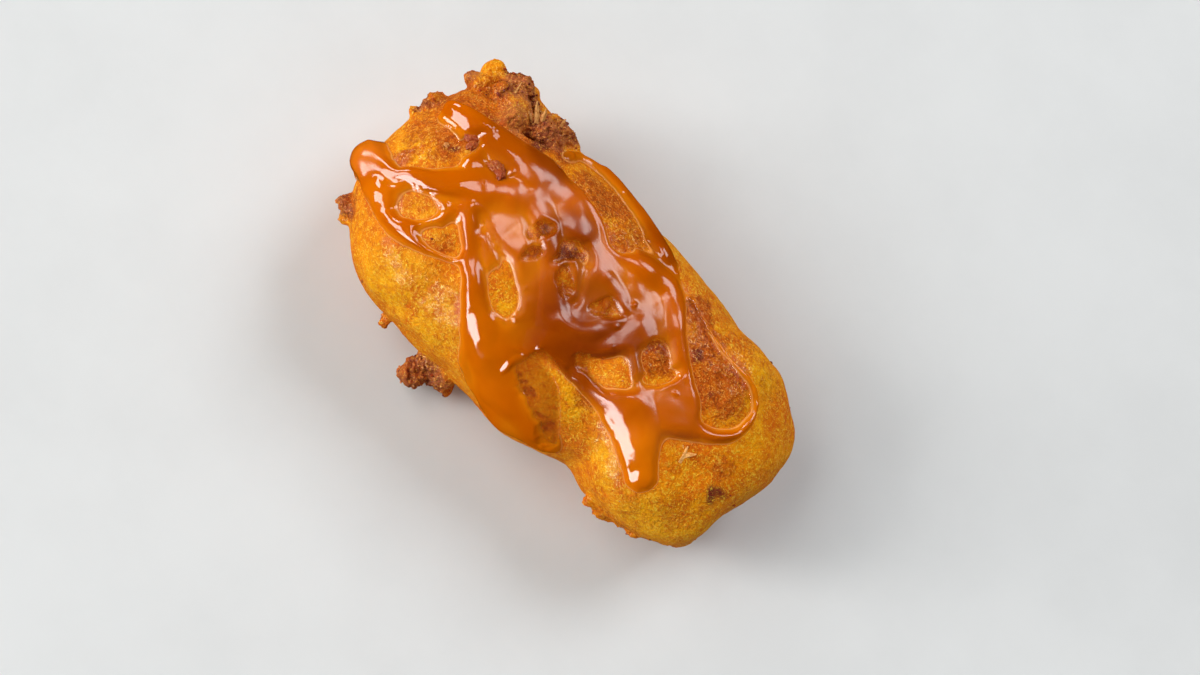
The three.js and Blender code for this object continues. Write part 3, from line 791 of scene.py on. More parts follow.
def crust_finish(colours):
    """Fried batter: golden, mottled with amber and brown, painted oily highlights and painted shade in
    hollows.
    """
    f = Finish("fried_batter")
    broad = f.cloud(9 * MM, 3, 0.6, 0.3)
    patchy = f.cloud(2.6 * MM, 4, 0.7, 0.5)
    mottle = f.cloud(1.2 * MM, 3, 0.65, 0.4)
    fine = f.cloud(0.6 * MM, 3, 0.7)
    curl = f.cloud(1.7 * MM, 2, 0.7, 1.1)
    grain = f.cells(0.55 * MM)
    browned = f.stored("browned")
    torn = f.stored("torn")
    tan = f.stored("tan")
    soaked = f.stored("soaked")
    covered = f.stored("covered")
    amber = tuple(colours.amber)
    palest = f.stored("pale") * (0.35 + 0.9 * patchy)
    colour = f.mix(tuple(colours.golden), tuple(colours.pale), palest)
    colour = f.mix(colour, amber, (broad * 0.5 + patchy * 0.5 + mottle * 0.4).between(0.58, 0.86))
    # Painted shade: amber low on the crust stands for the shade on its lower sides
    colour = f.mix(colour, amber, f.stored("low") * (0.5 + 0.5 * mottle))
    frying = (browned * 1.1 + (patchy - 0.5) * 0.8 + (mottle - 0.5) * 0.9).between(0.15, 0.95)
    colour = f.mix(colour, tuple(colours.brown), frying * browned.between(0.02, 0.3) * 0.9)
    crumb = (torn * 0.9 + (patchy - 0.5) * 0.8).between(0.15, 0.8)
    torn_brown = seen_colour(176, 98, 58)
    colour = f.mix(colour, torn_brown, crumb * 0.9)
    colour = f.mix(colour, tuple(colours.tan), torn * mottle.between(0.48, 0.64) * 0.7)
    dark = f.stored("scorched").largest(torn * patchy.between(0.5, 0.64))
    colour = f.mix(colour, tuple(colours.scorched), dark * (0.65 + 0.6 * mottle))
    smooth_tan = seen_colour(188, 108, 52)
    colour = f.mix(colour, smooth_tan, tan * (0.6 + 0.6 * mottle))
    # Painted shade: darker lines beside the painted highlights, in the batter's fine hollows, to show
    # relief
    painted_pit_shade = curl.near(0.4, 0.05) * fine.between(0.35, 0.6)
    pit_shade_colour = f.mix(seen_colour(196, 104, 4), seen_colour(112, 40, 10), browned)
    colour = f.mix(colour, pit_shade_colour, painted_pit_shade * (0.4 + 0.4 * browned))
    # Painted highlights: pale curls on the batter stand for light caught by its oily bumps
    painted_glints = curl.near(0.53, 0.055) * fine.between(0.38, 0.62)
    painted_glint_colour = f.mix(seen_colour(255, 212, 60), seen_colour(244, 160, 64), browned.largest(torn))
    colour = f.mix(colour, painted_glint_colour, painted_glints * 0.85)
    # Painted highlights: pale dots stand for light caught by tiny bubbles in the batter
    painted_specks = (1 - grain.between(0.1, 0.32)) * fine.between(0.42, 0.6)
    painted_speck_colour = f.mix(seen_colour(255, 214, 70), seen_colour(244, 170, 84), browned)
    colour = f.mix(colour, painted_speck_colour, painted_specks * 0.6)
    # Painted shade: darker lines between the grains, deepest where the crust is browned
    painted_seam_shade = grain.between(0.45, 0.7) * mottle.between(0.4, 0.65)
    seam_shade_colour = f.mix(seen_colour(190, 96, 4), seen_colour(104, 34, 12), browned)
    colour = f.mix(colour, seam_shade_colour, painted_seam_shade * (0.1 + 0.65 * browned))
    oily = seen_colour(215, 130, 40)
    wet = f.mix(colour, oily, soaked * 0.3, "MULTIPLY")
    under_sauce = seen_colour(190, 160, 70)
    wet = f.mix(wet, under_sauce, covered * 0.9 - f.stored("film") * 0.1, "MULTIPLY")
    height = curl * 1.0 + fine * 0.6 + mottle * 0.5 - grain * 0.6
    normal = f.bump(height, 0.28 * MM, 1 - soaked * 0.5, f.bump(patchy, 0.4 * MM, 0.6))
    return f.surface(
        Base_Color=wet,
        Roughness=0.6 + 0.15 * torn - painted_glints * 0.2 + 0.3 * covered,
        IOR=1.4,
        Specular_IOR_Level=0.08,
        Coat_Weight=(0.03 + painted_glints * 0.3 + painted_specks * 0.4 + soaked * 0.08) * (1 - covered),
        Coat_Roughness=0.14,
        Subsurface_Weight=0.1,
        Subsurface_Radius=(1.0, 0.45, 0.1),
        Subsurface_Scale=0.8 * MM,
        Normal=normal,
    )


def sauce_finish(colours):
    """Caramel: wet, glossy and translucent, clear where it is thin, with a painted highlight along its rim.
    """
    f = Finish("caramel_sauce")
    depth = f.stored("depth")
    inset = f.stored("inset")
    swirl = f.cloud(7 * MM, 2, 0.5, 0.8)
    shade = depth.between(0.2 * MM, 1.6 * MM)
    colour = f.mix(tuple(colours.thin), tuple(colours.thick), shade)
    # Painted glow: a brighter colour where light shines through the thick sauce
    colour = f.mix(colour, tuple(colours.bright), f.stored("bright") * (0.5 + 0.6 * swirl))
    colour = f.mix(colour, tuple(colours.deep), f.stored("deep") * (0.55 + 0.7 * swirl))
    # Painted highlight: a pale line near the sauce's edge stands for light caught by its rounded rim
    rim = inset.near(0.3 * MM, 0.3 * MM)
    painted_rim_highlight = seen_colour(250, 178, 100)
    colour = f.mix(colour, painted_rim_highlight, rim * 0.75)
    fine = f.cloud(1.8 * MM, 2, 0.5)
    cover = 0.1 + 0.9 * (depth.between(0.05 * MM, 1.1 * MM) + rim * 0.3)
    return f.surface(
        Base_Color=colour,
        Roughness=0.04 + 0.03 * swirl + 0.15 * f.stored("soft"),
        IOR=1.47,
        Alpha=cover * (1 - 0.82 * f.stored("film")),
        Subsurface_Weight=0.15,
        Subsurface_Radius=(1.0, 0.42, 0.04),
        Subsurface_Scale=1.2 * MM,
        Normal=f.bump(fine, 0.08 * MM, 0.4),
    )


def bar_finish(colours):
    """Melted chocolate over nougat."""
    f = Finish("melted_chocolate")
    patches = f.cloud(4 * MM, 3, 0.6, 0.6)
    fine = f.cloud(0.8 * MM, 3, 0.6)
    colour = f.mix(tuple(colours.chocolate), tuple(colours.nougat), patches.between(0.5, 0.62))
    return f.surface(
        Base_Color=colour,
        Roughness=0.34 + 0.3 * patches,
        Subsurface_Weight=0.1,
        Subsurface_Radius=(1.0, 0.5, 0.3),
        Subsurface_Scale=0.6 * MM,
        Normal=f.bump(fine, 0.15 * MM, 0.6),
    )


def crumb_finish(colours):
    """Crisp scraps of batter, each its own shade between amber and scorched brown."""
    f = Finish("crisp_crumb")
    shade = f.stored("shade")
    fine = f.cloud(0.5 * MM, 3, 0.6)
    paler = (shade + (fine - 0.5) * 0.8).between(0.45, 0.85)
    colour = f.mix(seen_colour(166, 66, 20), seen_colour(222, 148, 76), paler)
    colour = f.mix(colour, tuple(colours.scorched), (1 - shade.between(0.15, 0.4)) * 0.85)
    return f.surface(
        Base_Color=colour,
        Roughness=0.4 + 0.2 * fine,
        Specular_IOR_Level=0.12,
        Coat_Weight=0.12,
        Coat_Roughness=0.15,
        Normal=f.bump(fine, 0.12 * MM, 0.8),
    )


def shard_finish():
    """Dry, pale threads of batter."""
    f = Finish("pale_shard")
    fine = f.cloud(0.5 * MM, 3, 0.6)
    colour = f.mix(seen_colour(240, 180, 104), seen_colour(200, 122, 58), fine.between(0.4, 0.7))
    return f.surface(
        Base_Color=colour,
        Roughness=0.4 + 0.3 * fine,
        Specular_IOR_Level=0.08,
        Normal=f.bump(fine, 0.1 * MM, 0.6),
    )


def floor_finish(colour):
    """A pale, matt, faintly clouded surface."""
    f = Finish("pale_floor")
    cloud = f.cloud(60 * MM, 5, 0.6)
    darker = [v * 0.94 for v in colour[:3]] + [1.0]
    return f.surface(
        Base_Color=f.mix(tuple(colour), darker, cloud.between(0.3, 0.75)),
        Roughness=0.85,
        Specular_IOR_Level=0.1,
        Normal=f.bump(f.cloud(2 * MM, 3, 0.6), 0.1 * MM, 0.15),
    )


# Operators

class FRIEDBAR_OT_crust(bpy.types.Operator):
    """Makes the crust: the CAD crust rounded off, with swells, blisters, crags, its browning and painted
    shade
    """

    bl_idname = "friedbar.crust"
    bl_label = "Batter Crust"

    triangles = 168000  # before the torn parts are refined
    burst_middle = (-37.5, 22.5, 27.5)
    burst_reach = 13
    hollow_margin = 1.2  # past the bar's box, where the wall of the hollow lies
    underside = 2  # the height up to which crust counts as underside

    def execute(self, context):
        settings = context.scene.fried_bar.crust
        crust = merged_copy(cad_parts["batter_crust"], "crust")
        self.add_filling(crust.data)
        remesh(crust, settings.cell)
        thin_out(crust, self.hidden(coordinates(crust.data)).astype(float), self.triangles)
        rough = nearness(coordinates(crust.data), TORN + CRAGGY)
        round_off(crust, settings.smoothing, 1 - 0.6 * rough)
        refine(crust.data, nearness(coordinates(crust.data), TORN) > 0.5)
        self.shape(crust.data, settings)
        self.colour(crust.data)
        shade_smooth(crust.data)
        crust.data.materials.append(crust_finish(settings))
        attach(crust, "root")
        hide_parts("batter_crust")
        return {"FINISHED"}

    def hidden(self, points):
        """Whether each point is in the hollow round the bar, away from the burst, or on the underside."""
        low, high = (np.array(corner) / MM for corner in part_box("candy_bar"))
        margin = self.hollow_margin
        in_hollow = ((points > low - margin) & (points < high + margin)).all(1)
        near_burst = np.linalg.norm(points - self.burst_middle, axis=1) < self.burst_reach
        return (in_hollow & ~near_burst) | (points[:, 2] < self.underside)

    def add_filling(self, mesh):
        """Adds balls of batter that the remesh melts into the crust."""
        work = bmesh.new()
        work.from_mesh(mesh)
        for x, y, z, radius in FILLING:
            place = Matrix.Translation(Vector((x, y, z)) * MM)
            bmesh.ops.create_icosphere(work, subdivisions=3, radius=radius * MM, matrix=place)
        work.to_mesh(mesh)
        work.free()

    def shape(self, mesh, settings):
        """Raises the peaks, then the relief, which is stronger where the crust is well fried or torn."""
        points = coordinates(mesh)
        out = normals(mesh)
        tree = surface_tree(mesh)
        peaks = [(*top_point(tree, x, y), reach) for x, y, _, reach in PEAKS]
        torn = nearness(points, TORN)
        craggy = np.maximum(nearness(points, TORN + CRAGGY), 0.6 * nearness(points, peaks))
        craggy *= 1 - 0.6 * nearness(points, TAN)
        fried = nearness(self.shifted(points), BROWNED)
        lift = np.zeros(len(points))
        for (*_, height, reach), peak in zip(PEAKS, peaks):
            away = np.linalg.norm(points - peak[:3], axis=1) / reach
            lift += 0.8 * height * np.exp(-((away * 1.25) ** 2))
        lift += settings.swell / MM * waves(points, settings.swell_size / MM) * (1 - 0.5 * craggy)
        bubbly = blisters(points, settings.blister_size / MM) - 0.5
        lift += settings.blister / MM * bubbly * (0.25 + 0.75 * np.maximum(fried, craggy))
        crag_size = settings.crag_size / MM
        lift += settings.crag / MM * (ridges(points, crag_size) - 0.6) * craggy
        flaky = points * (1.0, 0.7, 1.5)
        lift += 0.4 * (ridges(flaky, 0.45 * crag_size, 5.0) - 0.5) * np.maximum(craggy, 0.4 * fried)
        lift += 0.55 * (ridges(flaky, 0.3 * crag_size, 3.0) - 0.5) * craggy * torn
        for x, y, z, reach, depth in DENTS:
            lift -= depth * smooth_step(1.3, 0.2, np.linalg.norm(points - (x, y, z), axis=1) / reach)
        lift *= smooth_step(0.2, 2.5, points[:, 2])
        points += out * lift[:, None]
        points[:, 2] = np.maximum(points[:, 2], 0)
        set_coordinates(mesh, points)

    def shifted(self, points):
        """The points moved about a little, so that patches get uneven outlines."""
        moved = [waves(points, 3.5, shift) for shift in (1.7, 5.2, 9.1)]
        return points + 1.3 * np.stack(moved, axis=1)

    def colour(self, mesh):
        """Stores where the crust is browned, torn, under sauce and so on, for its finish and the crumbs."""
        points = coordinates(mesh)
        cover = sauce_cover(points, laid_paths(STRANDS, surface_tree(mesh)))
        moved = self.shifted(points)
        tan = nearness(points, TAN)
        torn = nearness(moved, TORN) * (1 - tan)
        set_attribute(mesh, "tan", tan)
        # Painted shade: how low each point is, for the amber that stands for shade on the crust's lower
        # sides
        set_attribute(mesh, "low", smooth_step(21, 7, points[:, 2]))
        # Browning low on the crust, partly real and partly painted shade on its lower sides
        rim = smooth_step(14, 5, points[:, 2]) * 0.4
        browned = np.maximum(nearness(moved, BROWNED), rim)
        browned = np.maximum(browned, nearness(moved, CRAGGY) * 0.5)
        set_attribute(mesh, "torn", torn)
        set_attribute(mesh, "browned", np.clip(browned + 0.1 * waves(points, 6), 0, 1))
        set_attribute(mesh, "pale", nearness(moved, PALE))
        set_attribute(mesh, "scorched", nearness(moved, SCORCHED))
        set_attribute(mesh, "covered", smooth_step(0.1, 1.2, cover))
        set_attribute(mesh, "film", smooth_step(0.1, 1.2, cover) * filminess(points))
        set_attribute(mesh, "soaked", smooth_step(-1.8, 0.6, cover) * (1 - 0.6 * torn))
        bare = smooth_step(0.0, -0.8, cover) * (points[:, 2] > 3)
        crumby = np.maximum(nearness(points, TORN), nearness(points, CRAGGY) * 0.7)
        set_attribute(mesh, "crumby", (crumby + 0.012) * bare * (1 - tan))


class FRIEDBAR_OT_bar(bpy.types.Operator):
    """Makes the bar inside, which shows where the crust has burst"""

    bl_idname = "friedbar.bar"
    bl_label = "Chocolate Bar"

    def execute(self, context):
        settings = context.scene.fried_bar.bar
        bar = merged_copy(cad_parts["candy_bar"], "chocolate_bar")
        remesh(bar, settings.cell)
        round_off(bar, 2)
        points = coordinates(bar.data)
        depth = settings.dent / MM * (1 + waves(points, settings.dent_size / MM))
        set_coordinates(bar.data, points - normals(bar.data) * depth[:, None])
        shade_smooth(bar.data)
        bar.data.materials.append(bar_finish(settings))
        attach(bar, "root")
        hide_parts("candy_bar")
        return {"FINISHED"}


class FRIEDBAR_OT_sauce(bpy.types.Operator):
    """Lays the caramel sauce on the crust: a skin over a grid of rays, as deep as its strands make it"""

    bl_idname = "friedbar.sauce"
    bl_label = "Caramel Sauce"

    axis_height = 10.0  # of the line that the rays start from
    turn_start = -44.0  # the rays fan out past this x, to go round the burst end
    turn_reach = 22.0
    far = 48.0
    usual_reach = 24.0  # from the axis to the crust's outside
    first_turn, last_turn = math.radians(12), math.radians(168)  # of the rays, from the +Y side
    hollow = 0.9  # how far the sauce may dip below the crust's bumps

    def execute(self, context):
        settings = context.scene.fried_bar.sauce
        tree = surface_tree(bpy.data.objects["crust"].data)
        cell = settings.cell / MM
        run = np.arange(self.turn_start - 1.15 * self.turn_reach, self.far, cell)
        turn = np.arange(self.first_turn, self.last_turn, cell / self.usual_reach)
        starts, rays = self.rays(run, turn)
        depth = self.surface_distance(tree, starts, rays)
        shape = (len(run), len(turn))
        cover = sauce_cover(starts + rays * depth[:, None], laid_paths(STRANDS, tree))
        evened = self.blurred(depth.reshape(shape), settings.settling / settings.cell).ravel()
        settled = (np.maximum(evened, depth - self.hollow) - depth) * smooth_step(0.0, 1.6, cover)
        base = starts + rays * (depth + settled)[:, None]
        outward = self.grid_normals(base.reshape(*shape, 3)).reshape(-1, 3)
        height = self.height(base, cover, laid_paths(CRESTS, tree), settings)
        skin = self.clipped_skin(base, outward, height, cover, shape, settings.skirt / MM)
        vertices, faces, heights, insets = skin
        mesh = bpy.data.meshes.new("caramel")
        mesh.from_pydata((vertices * MM).tolist(), [], faces)
        mesh.validate()
        points = coordinates(mesh)
        set_attribute(mesh, "depth", heights * MM)
        set_attribute(mesh, "inset", insets * MM)
        set_attribute(mesh, "film", filminess(points))
        for name, places in (("deep", DEEP), ("bright", PAINTED_GLOW), ("soft", SOFT)):
            set_attribute(mesh, name, nearness(points, places))
        sauce = link_object("caramel", mesh)
        sauce.visible_shadow = False
        shade_smooth(mesh)
        mesh.materials.append(sauce_finish(settings))
        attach(sauce, "root")
        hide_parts("caramel_sauce")
        return {"FINISHED"}

    def rays(self, run, turn):
        """Rays outward from the bar's axis, a row for each place along it."""
        along, angle = (v.ravel() for v in np.meshgrid(run, turn, indexing="ij"))
        fan = np.maximum(self.turn_start - along, 0) / self.turn_reach
        axis_height = np.full(len(along), self.axis_height)
        starts = np.stack([np.maximum(along, self.turn_start), 0 * along, axis_height], axis=1)
        level = np.cos(fan)
        return starts, np.stack([-np.sin(fan), level * np.cos(angle), level * np.sin(angle)], axis=1)

    def surface_distance(self, tree, starts, rays):
        """How far along each ray the crust's outside is, in millimetres."""
        outside = 70.0  # past all of the crust
        missed = 20.0  # stands in where a ray meets nothing
        found = []
        for origin, direction in zip((starts + rays * outside) * MM, -rays):
            hit = tree.ray_cast(Vector(origin), Vector(direction))[3]
            found.append(missed if hit is None else outside - hit / MM)
        return np.array(found)

    def blurred(self, grid, spread):
        """The grid evened out over about spread cells."""
        reach = int(3 * spread)
        weights = np.exp(-0.5 * (np.arange(-reach, reach + 1) / spread) ** 2)
        weights /= weights.sum()
        for axis, margins in ((0, ((reach, reach), (0, 0))), (1, ((0, 0), (reach, reach)))):
            padded = np.pad(grid, margins, mode="edge")
            grid = np.apply_along_axis(np.convolve, axis, padded, weights, mode="valid")
        return grid

    def grid_normals(self, grid):
        """The outward direction at each point of a grid."""
        along = np.gradient(grid, axis=0)
        across = np.gradient(grid, axis=1)
        normal = np.cross(across, along)
        return normal / np.linalg.norm(normal, axis=2, keepdims=True)

    def height(self, points, cover, crests, settings):
        """The sauce's depth in millimetres: a rounded edge, then crests, slow ripples and bubbles."""
        inner = 1 - np.clip(cover / (settings.edge_width / MM), 0, 1)
        rounded = settings.edge / MM * (1 - inner * inner) ** 0.8
        crest = settings.crest * crest_height(points, crests, settings.breadth)
        crest *= smooth_step(-0.4, 1.8, cover)
        ripple = settings.ripple / MM * waves(points, 6.5, 2.3) + 0.06 * waves(points, 2.6, 6.1)
        ripple *= smooth_step(0.2, 3.0, cover)
        full = rounded + crest + ripple + settings.drip / MM * self.gathering(points, cover)
        near_edge = smooth_step(0.1, 0.8, cover)
        return full * (1 - 0.5 * filminess(points) * near_edge) + bubble_height(points) * near_edge

    def gathering(self, points, cover):
        """1 where the sauce gathers at the burst end, 0 elsewhere."""
        *middle, reach = DRIP
        away = np.linalg.norm(points - middle, axis=1) / reach
        return np.exp(-(away**2)) * smooth_step(0, 2.5, cover)

    def clipped_skin(self, base, outward, height, cover, shape, skirt):
        """The grid's cells inside the sauce's edge, as a closed skin with its underside in the crust."""
        rows, columns = shape
        vertices, heights, insets, known, faces = [], [], [], {}, []

        def vertex(key, point, lift, inset):
            if key not in known:
                known[key] = len(vertices)
                vertices.append(point)
                heights.append(lift)
                insets.append(inset)
            return known[key]

        def corner(i):
            return vertex(i, base[i] + outward[i] * height[i], height[i], cover[i])

        def crossing(i, j):
            a, b = min(i, j), max(i, j)
            t = min(max(cover[a] / (cover[a] - cover[b]), 0.04), 0.96)
            point = base[a] + (base[b] - base[a]) * t
            return vertex((a, b), point - outward[a] * 0.05, 0.0, 0.0)

        covered = cover > 0
        for row in range(rows - 1):
            for column in range(columns - 1):
                i = row * columns + column
                ring = (i, i + 1, i + columns + 1, i + columns)
                inside = [covered[k] for k in ring]
                if not any(inside):
                    continue
                outline = []
                for k, this in enumerate(ring):
                    after = ring[(k + 1) % 4]
                    if inside[k]:
                        outline.append(corner(this))
                    if inside[k] != covered[after]:
                        outline.append(crossing(this, after))
                if len(outline) > 2:
                    faces.append(outline)
        skin = np.array(vertices), np.array(heights), np.array(insets)
        return self.with_underside(*skin, faces, known, outward, skirt)

    def with_underside(self, vertices, heights, insets, faces, known, outward, skirt):
        """Adds a copy of the skin, turned over and sunk in the crust, and joins the two at the edge."""
        count = len(vertices)
        sink = np.zeros((count, 3))
        for key, index in known.items():
            sink[index] = outward[key if isinstance(key, int) else key[0]]
        under = vertices - sink * (heights + skirt)[:, None]
        sides = {side: True for face in faces for side in zip(face, face[1:] + face[:1])}
        rim = [(a, b) for a, b in sides if (b, a) not in sides]
        lower = [[i + count for i in reversed(face)] for face in faces]
        walls = [[b, a, a + count, b + count] for a, b in rim]
        both = [np.concatenate([numbers, numbers * 0]) for numbers in (heights, insets)]
        return np.vstack([vertices, under]), faces + lower + walls, *both


class FRIEDBAR_OT_crumbs(bpy.types.Operator):
    """Scatters crisp crumbs over the crags, and a few over the rest of the crust"""

    bl_idname = "friedbar.crumbs"
    bl_label = "Crumbs"

    def execute(self, context):
        settings = context.scene.fried_bar.crumbs
        crust = bpy.data.objects["crust"]
        material = crumb_finish(context.scene.fried_bar.crust)
        crumbs = link_object("crumbs", crust.data.copy())
        modifier = crumbs.modifiers.new("crumbs", "NODES")
        modifier.node_group = self.scattering()
        values = {
            "Density": settings.density,
            "Smallest": settings.smallest,
            "Largest": settings.largest,
            "Seed": settings.seed,
            "Material": material,
        }
        for item in modifier.node_group.interface.items_tree:
            if item.name in values and item.in_out == "INPUT":
                modifier[item.identifier] = values[item.name]
        apply_modifiers(crumbs)
        if not crumbs.data.polygons:
            raise RuntimeError("no crumbs were made")
        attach(crumbs, "root")
        return {"FINISHED"}

    def scattering(self):
        """Angular scraps on the surface, thickest where its stored number "crumby" is highest."""
        tree = bpy.data.node_groups.new("Crumbs", "GeometryNodeTree")
        face = tree.interface
        face.new_socket("Geometry", in_out="INPUT", socket_type="NodeSocketGeometry")
        for name in ("Density", "Smallest", "Largest"):
            face.new_socket(name, in_out="INPUT", socket_type="NodeSocketFloat")
        face.new_socket("Seed", in_out="INPUT", socket_type="NodeSocketInt")
        face.new_socket("Material", in_out="INPUT", socket_type="NodeSocketMaterial")
        face.new_socket("Geometry", in_out="OUTPUT", socket_type="NodeSocketGeometry")

        node = Nodes(tree).node
        number, vector = {"data_type": "FLOAT"}, {"data_type": "FLOAT_VECTOR"}
        given = node("NodeGroupInput").outputs
        crumby = node("GeometryNodeInputNamedAttribute", number, {"Name": "crumby"})
        shares = {0: crumby.outputs[0], 1: given["Density"]}
        density = node("ShaderNodeMath", {"operation": "MULTIPLY"}, shares)
        spread = {"Mesh": given["Geometry"], "Density": density.outputs[0], "Seed": given["Seed"]}
        places = node("GeometryNodeDistributePointsOnFaces", {"distribute_method": "RANDOM"}, spread)
        flatness = {0: (0.7, 0.6, 0.35), 1: (1.5, 1.1, 0.8)}
        flat = node("FunctionNodeRandomValue", vector, flatness)
        sizes = {2: given["Smallest"], 3: given["Largest"], "Seed": 9}
        size = node("FunctionNodeRandomValue", number, sizes)
        scaled = {0: flat.outputs[0], "Scale": size.outputs[1]}
        scale = node("ShaderNodeVectorMath", {"operation": "SCALE"}, scaled)
        turned = {0: (0, 0, 0), 1: (6.3, 6.3, 6.3), "Seed": 5}
        turn = node("FunctionNodeRandomValue", vector, turned)
        scrap = node("GeometryNodeMeshIcoSphere", {}, {"Radius": 1.0, "Subdivisions": 1})
        placed = {
            "Points": places.outputs["Points"],
            "Instance": scrap.outputs["Mesh"],
            "Rotation": turn.outputs[0],
            "Scale": scale.outputs[0],
        }
        scraps = node("GeometryNodeInstanceOnPoints", {}, placed)
        shade = node("FunctionNodeRandomValue", number, {2: 0.0, 3: 1.0, "Seed": 2})
        shading = {"Geometry": scraps.outputs[0], "Name": "shade", "Value": shade.outputs[1]}
        kept = {"data_type": "FLOAT", "domain": "INSTANCE"}
        shaded = node("GeometryNodeStoreNamedAttribute", kept, shading)
        real = node("GeometryNodeRealizeInstances", {}, {"Geometry": shaded.outputs[0]})
        dressed = {"Geometry": real.outputs[0], "Material": given["Material"]}
        finished = node("GeometryNodeSetMaterial", {}, dressed)
        node("NodeGroupOutput", {}, {0: finished.outputs[0]})
        return tree


class FRIEDBAR_OT_shards(bpy.types.Operator):
    """Makes the pale shards of batter that stick up from the crust"""

    bl_idname = "friedbar.shards"
    bl_label = "Pale Shards"

    buried = 0.3  # how deep a shard starts in the crust
    flatness = 0.55  # its thickness as a share of its width

    def execute(self, context):
        tree = surface_tree(bpy.data.objects["crust"].data)
        mesh = bpy.data.meshes.new("shards")
        work = bmesh.new()
        for number, shard in enumerate(SHARDS):
            self.add_shard(work, tree, np.random.default_rng(number), *shard)
        work.to_mesh(mesh)
        work.free()
        shards = link_object("shards", mesh)
        mesh.materials.append(shard_finish())
        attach(shards, "root")
        return {"FINISHED"}

    def add_shard(self, work, tree, random, x, y, length, half_width, turn, lift):
        """The hull of uneven rings of points along a line from inside the crust to the shard's tip."""
        root = top_point(tree, x, y) - (0, 0, self.buried)
        turn, lift = math.radians(turn), math.radians(lift)
        along = np.array([math.cos(turn), math.sin(turn), math.tan(lift)])
        along /= np.linalg.norm(along)
        across = np.cross(along, (0.0, 0.0, 1.0))
        across /= np.linalg.norm(across)
        rise = np.cross(across, along)
        points = []
        for share in (0.0, 0.35, 0.7, 1.0):
            width = half_width * (1.05 - share * 0.85)
            sway = across * random.uniform(-0.3, 0.3) * share
            for angle in (0.3, 1.6, 3.3, 4.9):
                reach = width * random.uniform(0.7, 1.2)
                edge = across * math.cos(angle) * reach + rise * math.sin(angle) * reach * self.flatness
                points.append(work.verts.new((root + along * length * share + sway + edge) * MM))
        hull = bmesh.ops.convex_hull(work, input=points, use_existing_faces=False)
        inner = hull["geom_interior"] + hull["geom_unused"]
        spare = {item for item in inner if isinstance(item, bmesh.types.BMVert)}
        bmesh.ops.delete(work, geom=list(spare), context="VERTS")


class FRIEDBAR_OT_scraps(bpy.types.Operator):
    """Makes the larger scraps of batter that lie on the sauce and beside it"""

    bl_idname = "friedbar.scraps"
    bl_label = "Scraps"

    def execute(self, context):
        work = bmesh.new()
        trees = [surface_tree(bpy.data.objects[name].data) for name in ("crust", "caramel")]
        shades = []
        for number, (x, y, length, width, height, turn, shade) in enumerate(SCRAPS):
            hits = [seen_from_above(tree, x, y) for tree in trees]
            place = max((hit for hit in hits if hit is not None), key=lambda hit: hit.z)
            turned = Matrix.Translation(place) @ Matrix.Rotation(math.radians(turn), 4, "Z")
            size = Matrix.Diagonal(Vector((length, width, height)) * MM).to_4x4()
            made = bmesh.ops.create_icosphere(work, subdivisions=4, radius=1)["verts"]
            for vertex in made:
                spot = vertex.co * 1.9 + Vector((number * 7, 0, 0))
                vertex.co *= 0.35 + 0.42 * noise.ridged_multi_fractal(spot, 0.8, 2.1, 4, 1.0, 2.0)
                vertex.co = turned @ (size @ vertex.co)
            shades += [shade] * len(made)
        mesh = bpy.data.meshes.new("scraps")
        work.to_mesh(mesh)
        work.free()
        set_attribute(mesh, "shade", shades)
        shade_smooth(mesh)
        scraps = link_object("scraps", mesh)
        mesh.materials.append(crumb_finish(context.scene.fried_bar.crust))
        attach(scraps, "root")
        return {"FINISHED"}


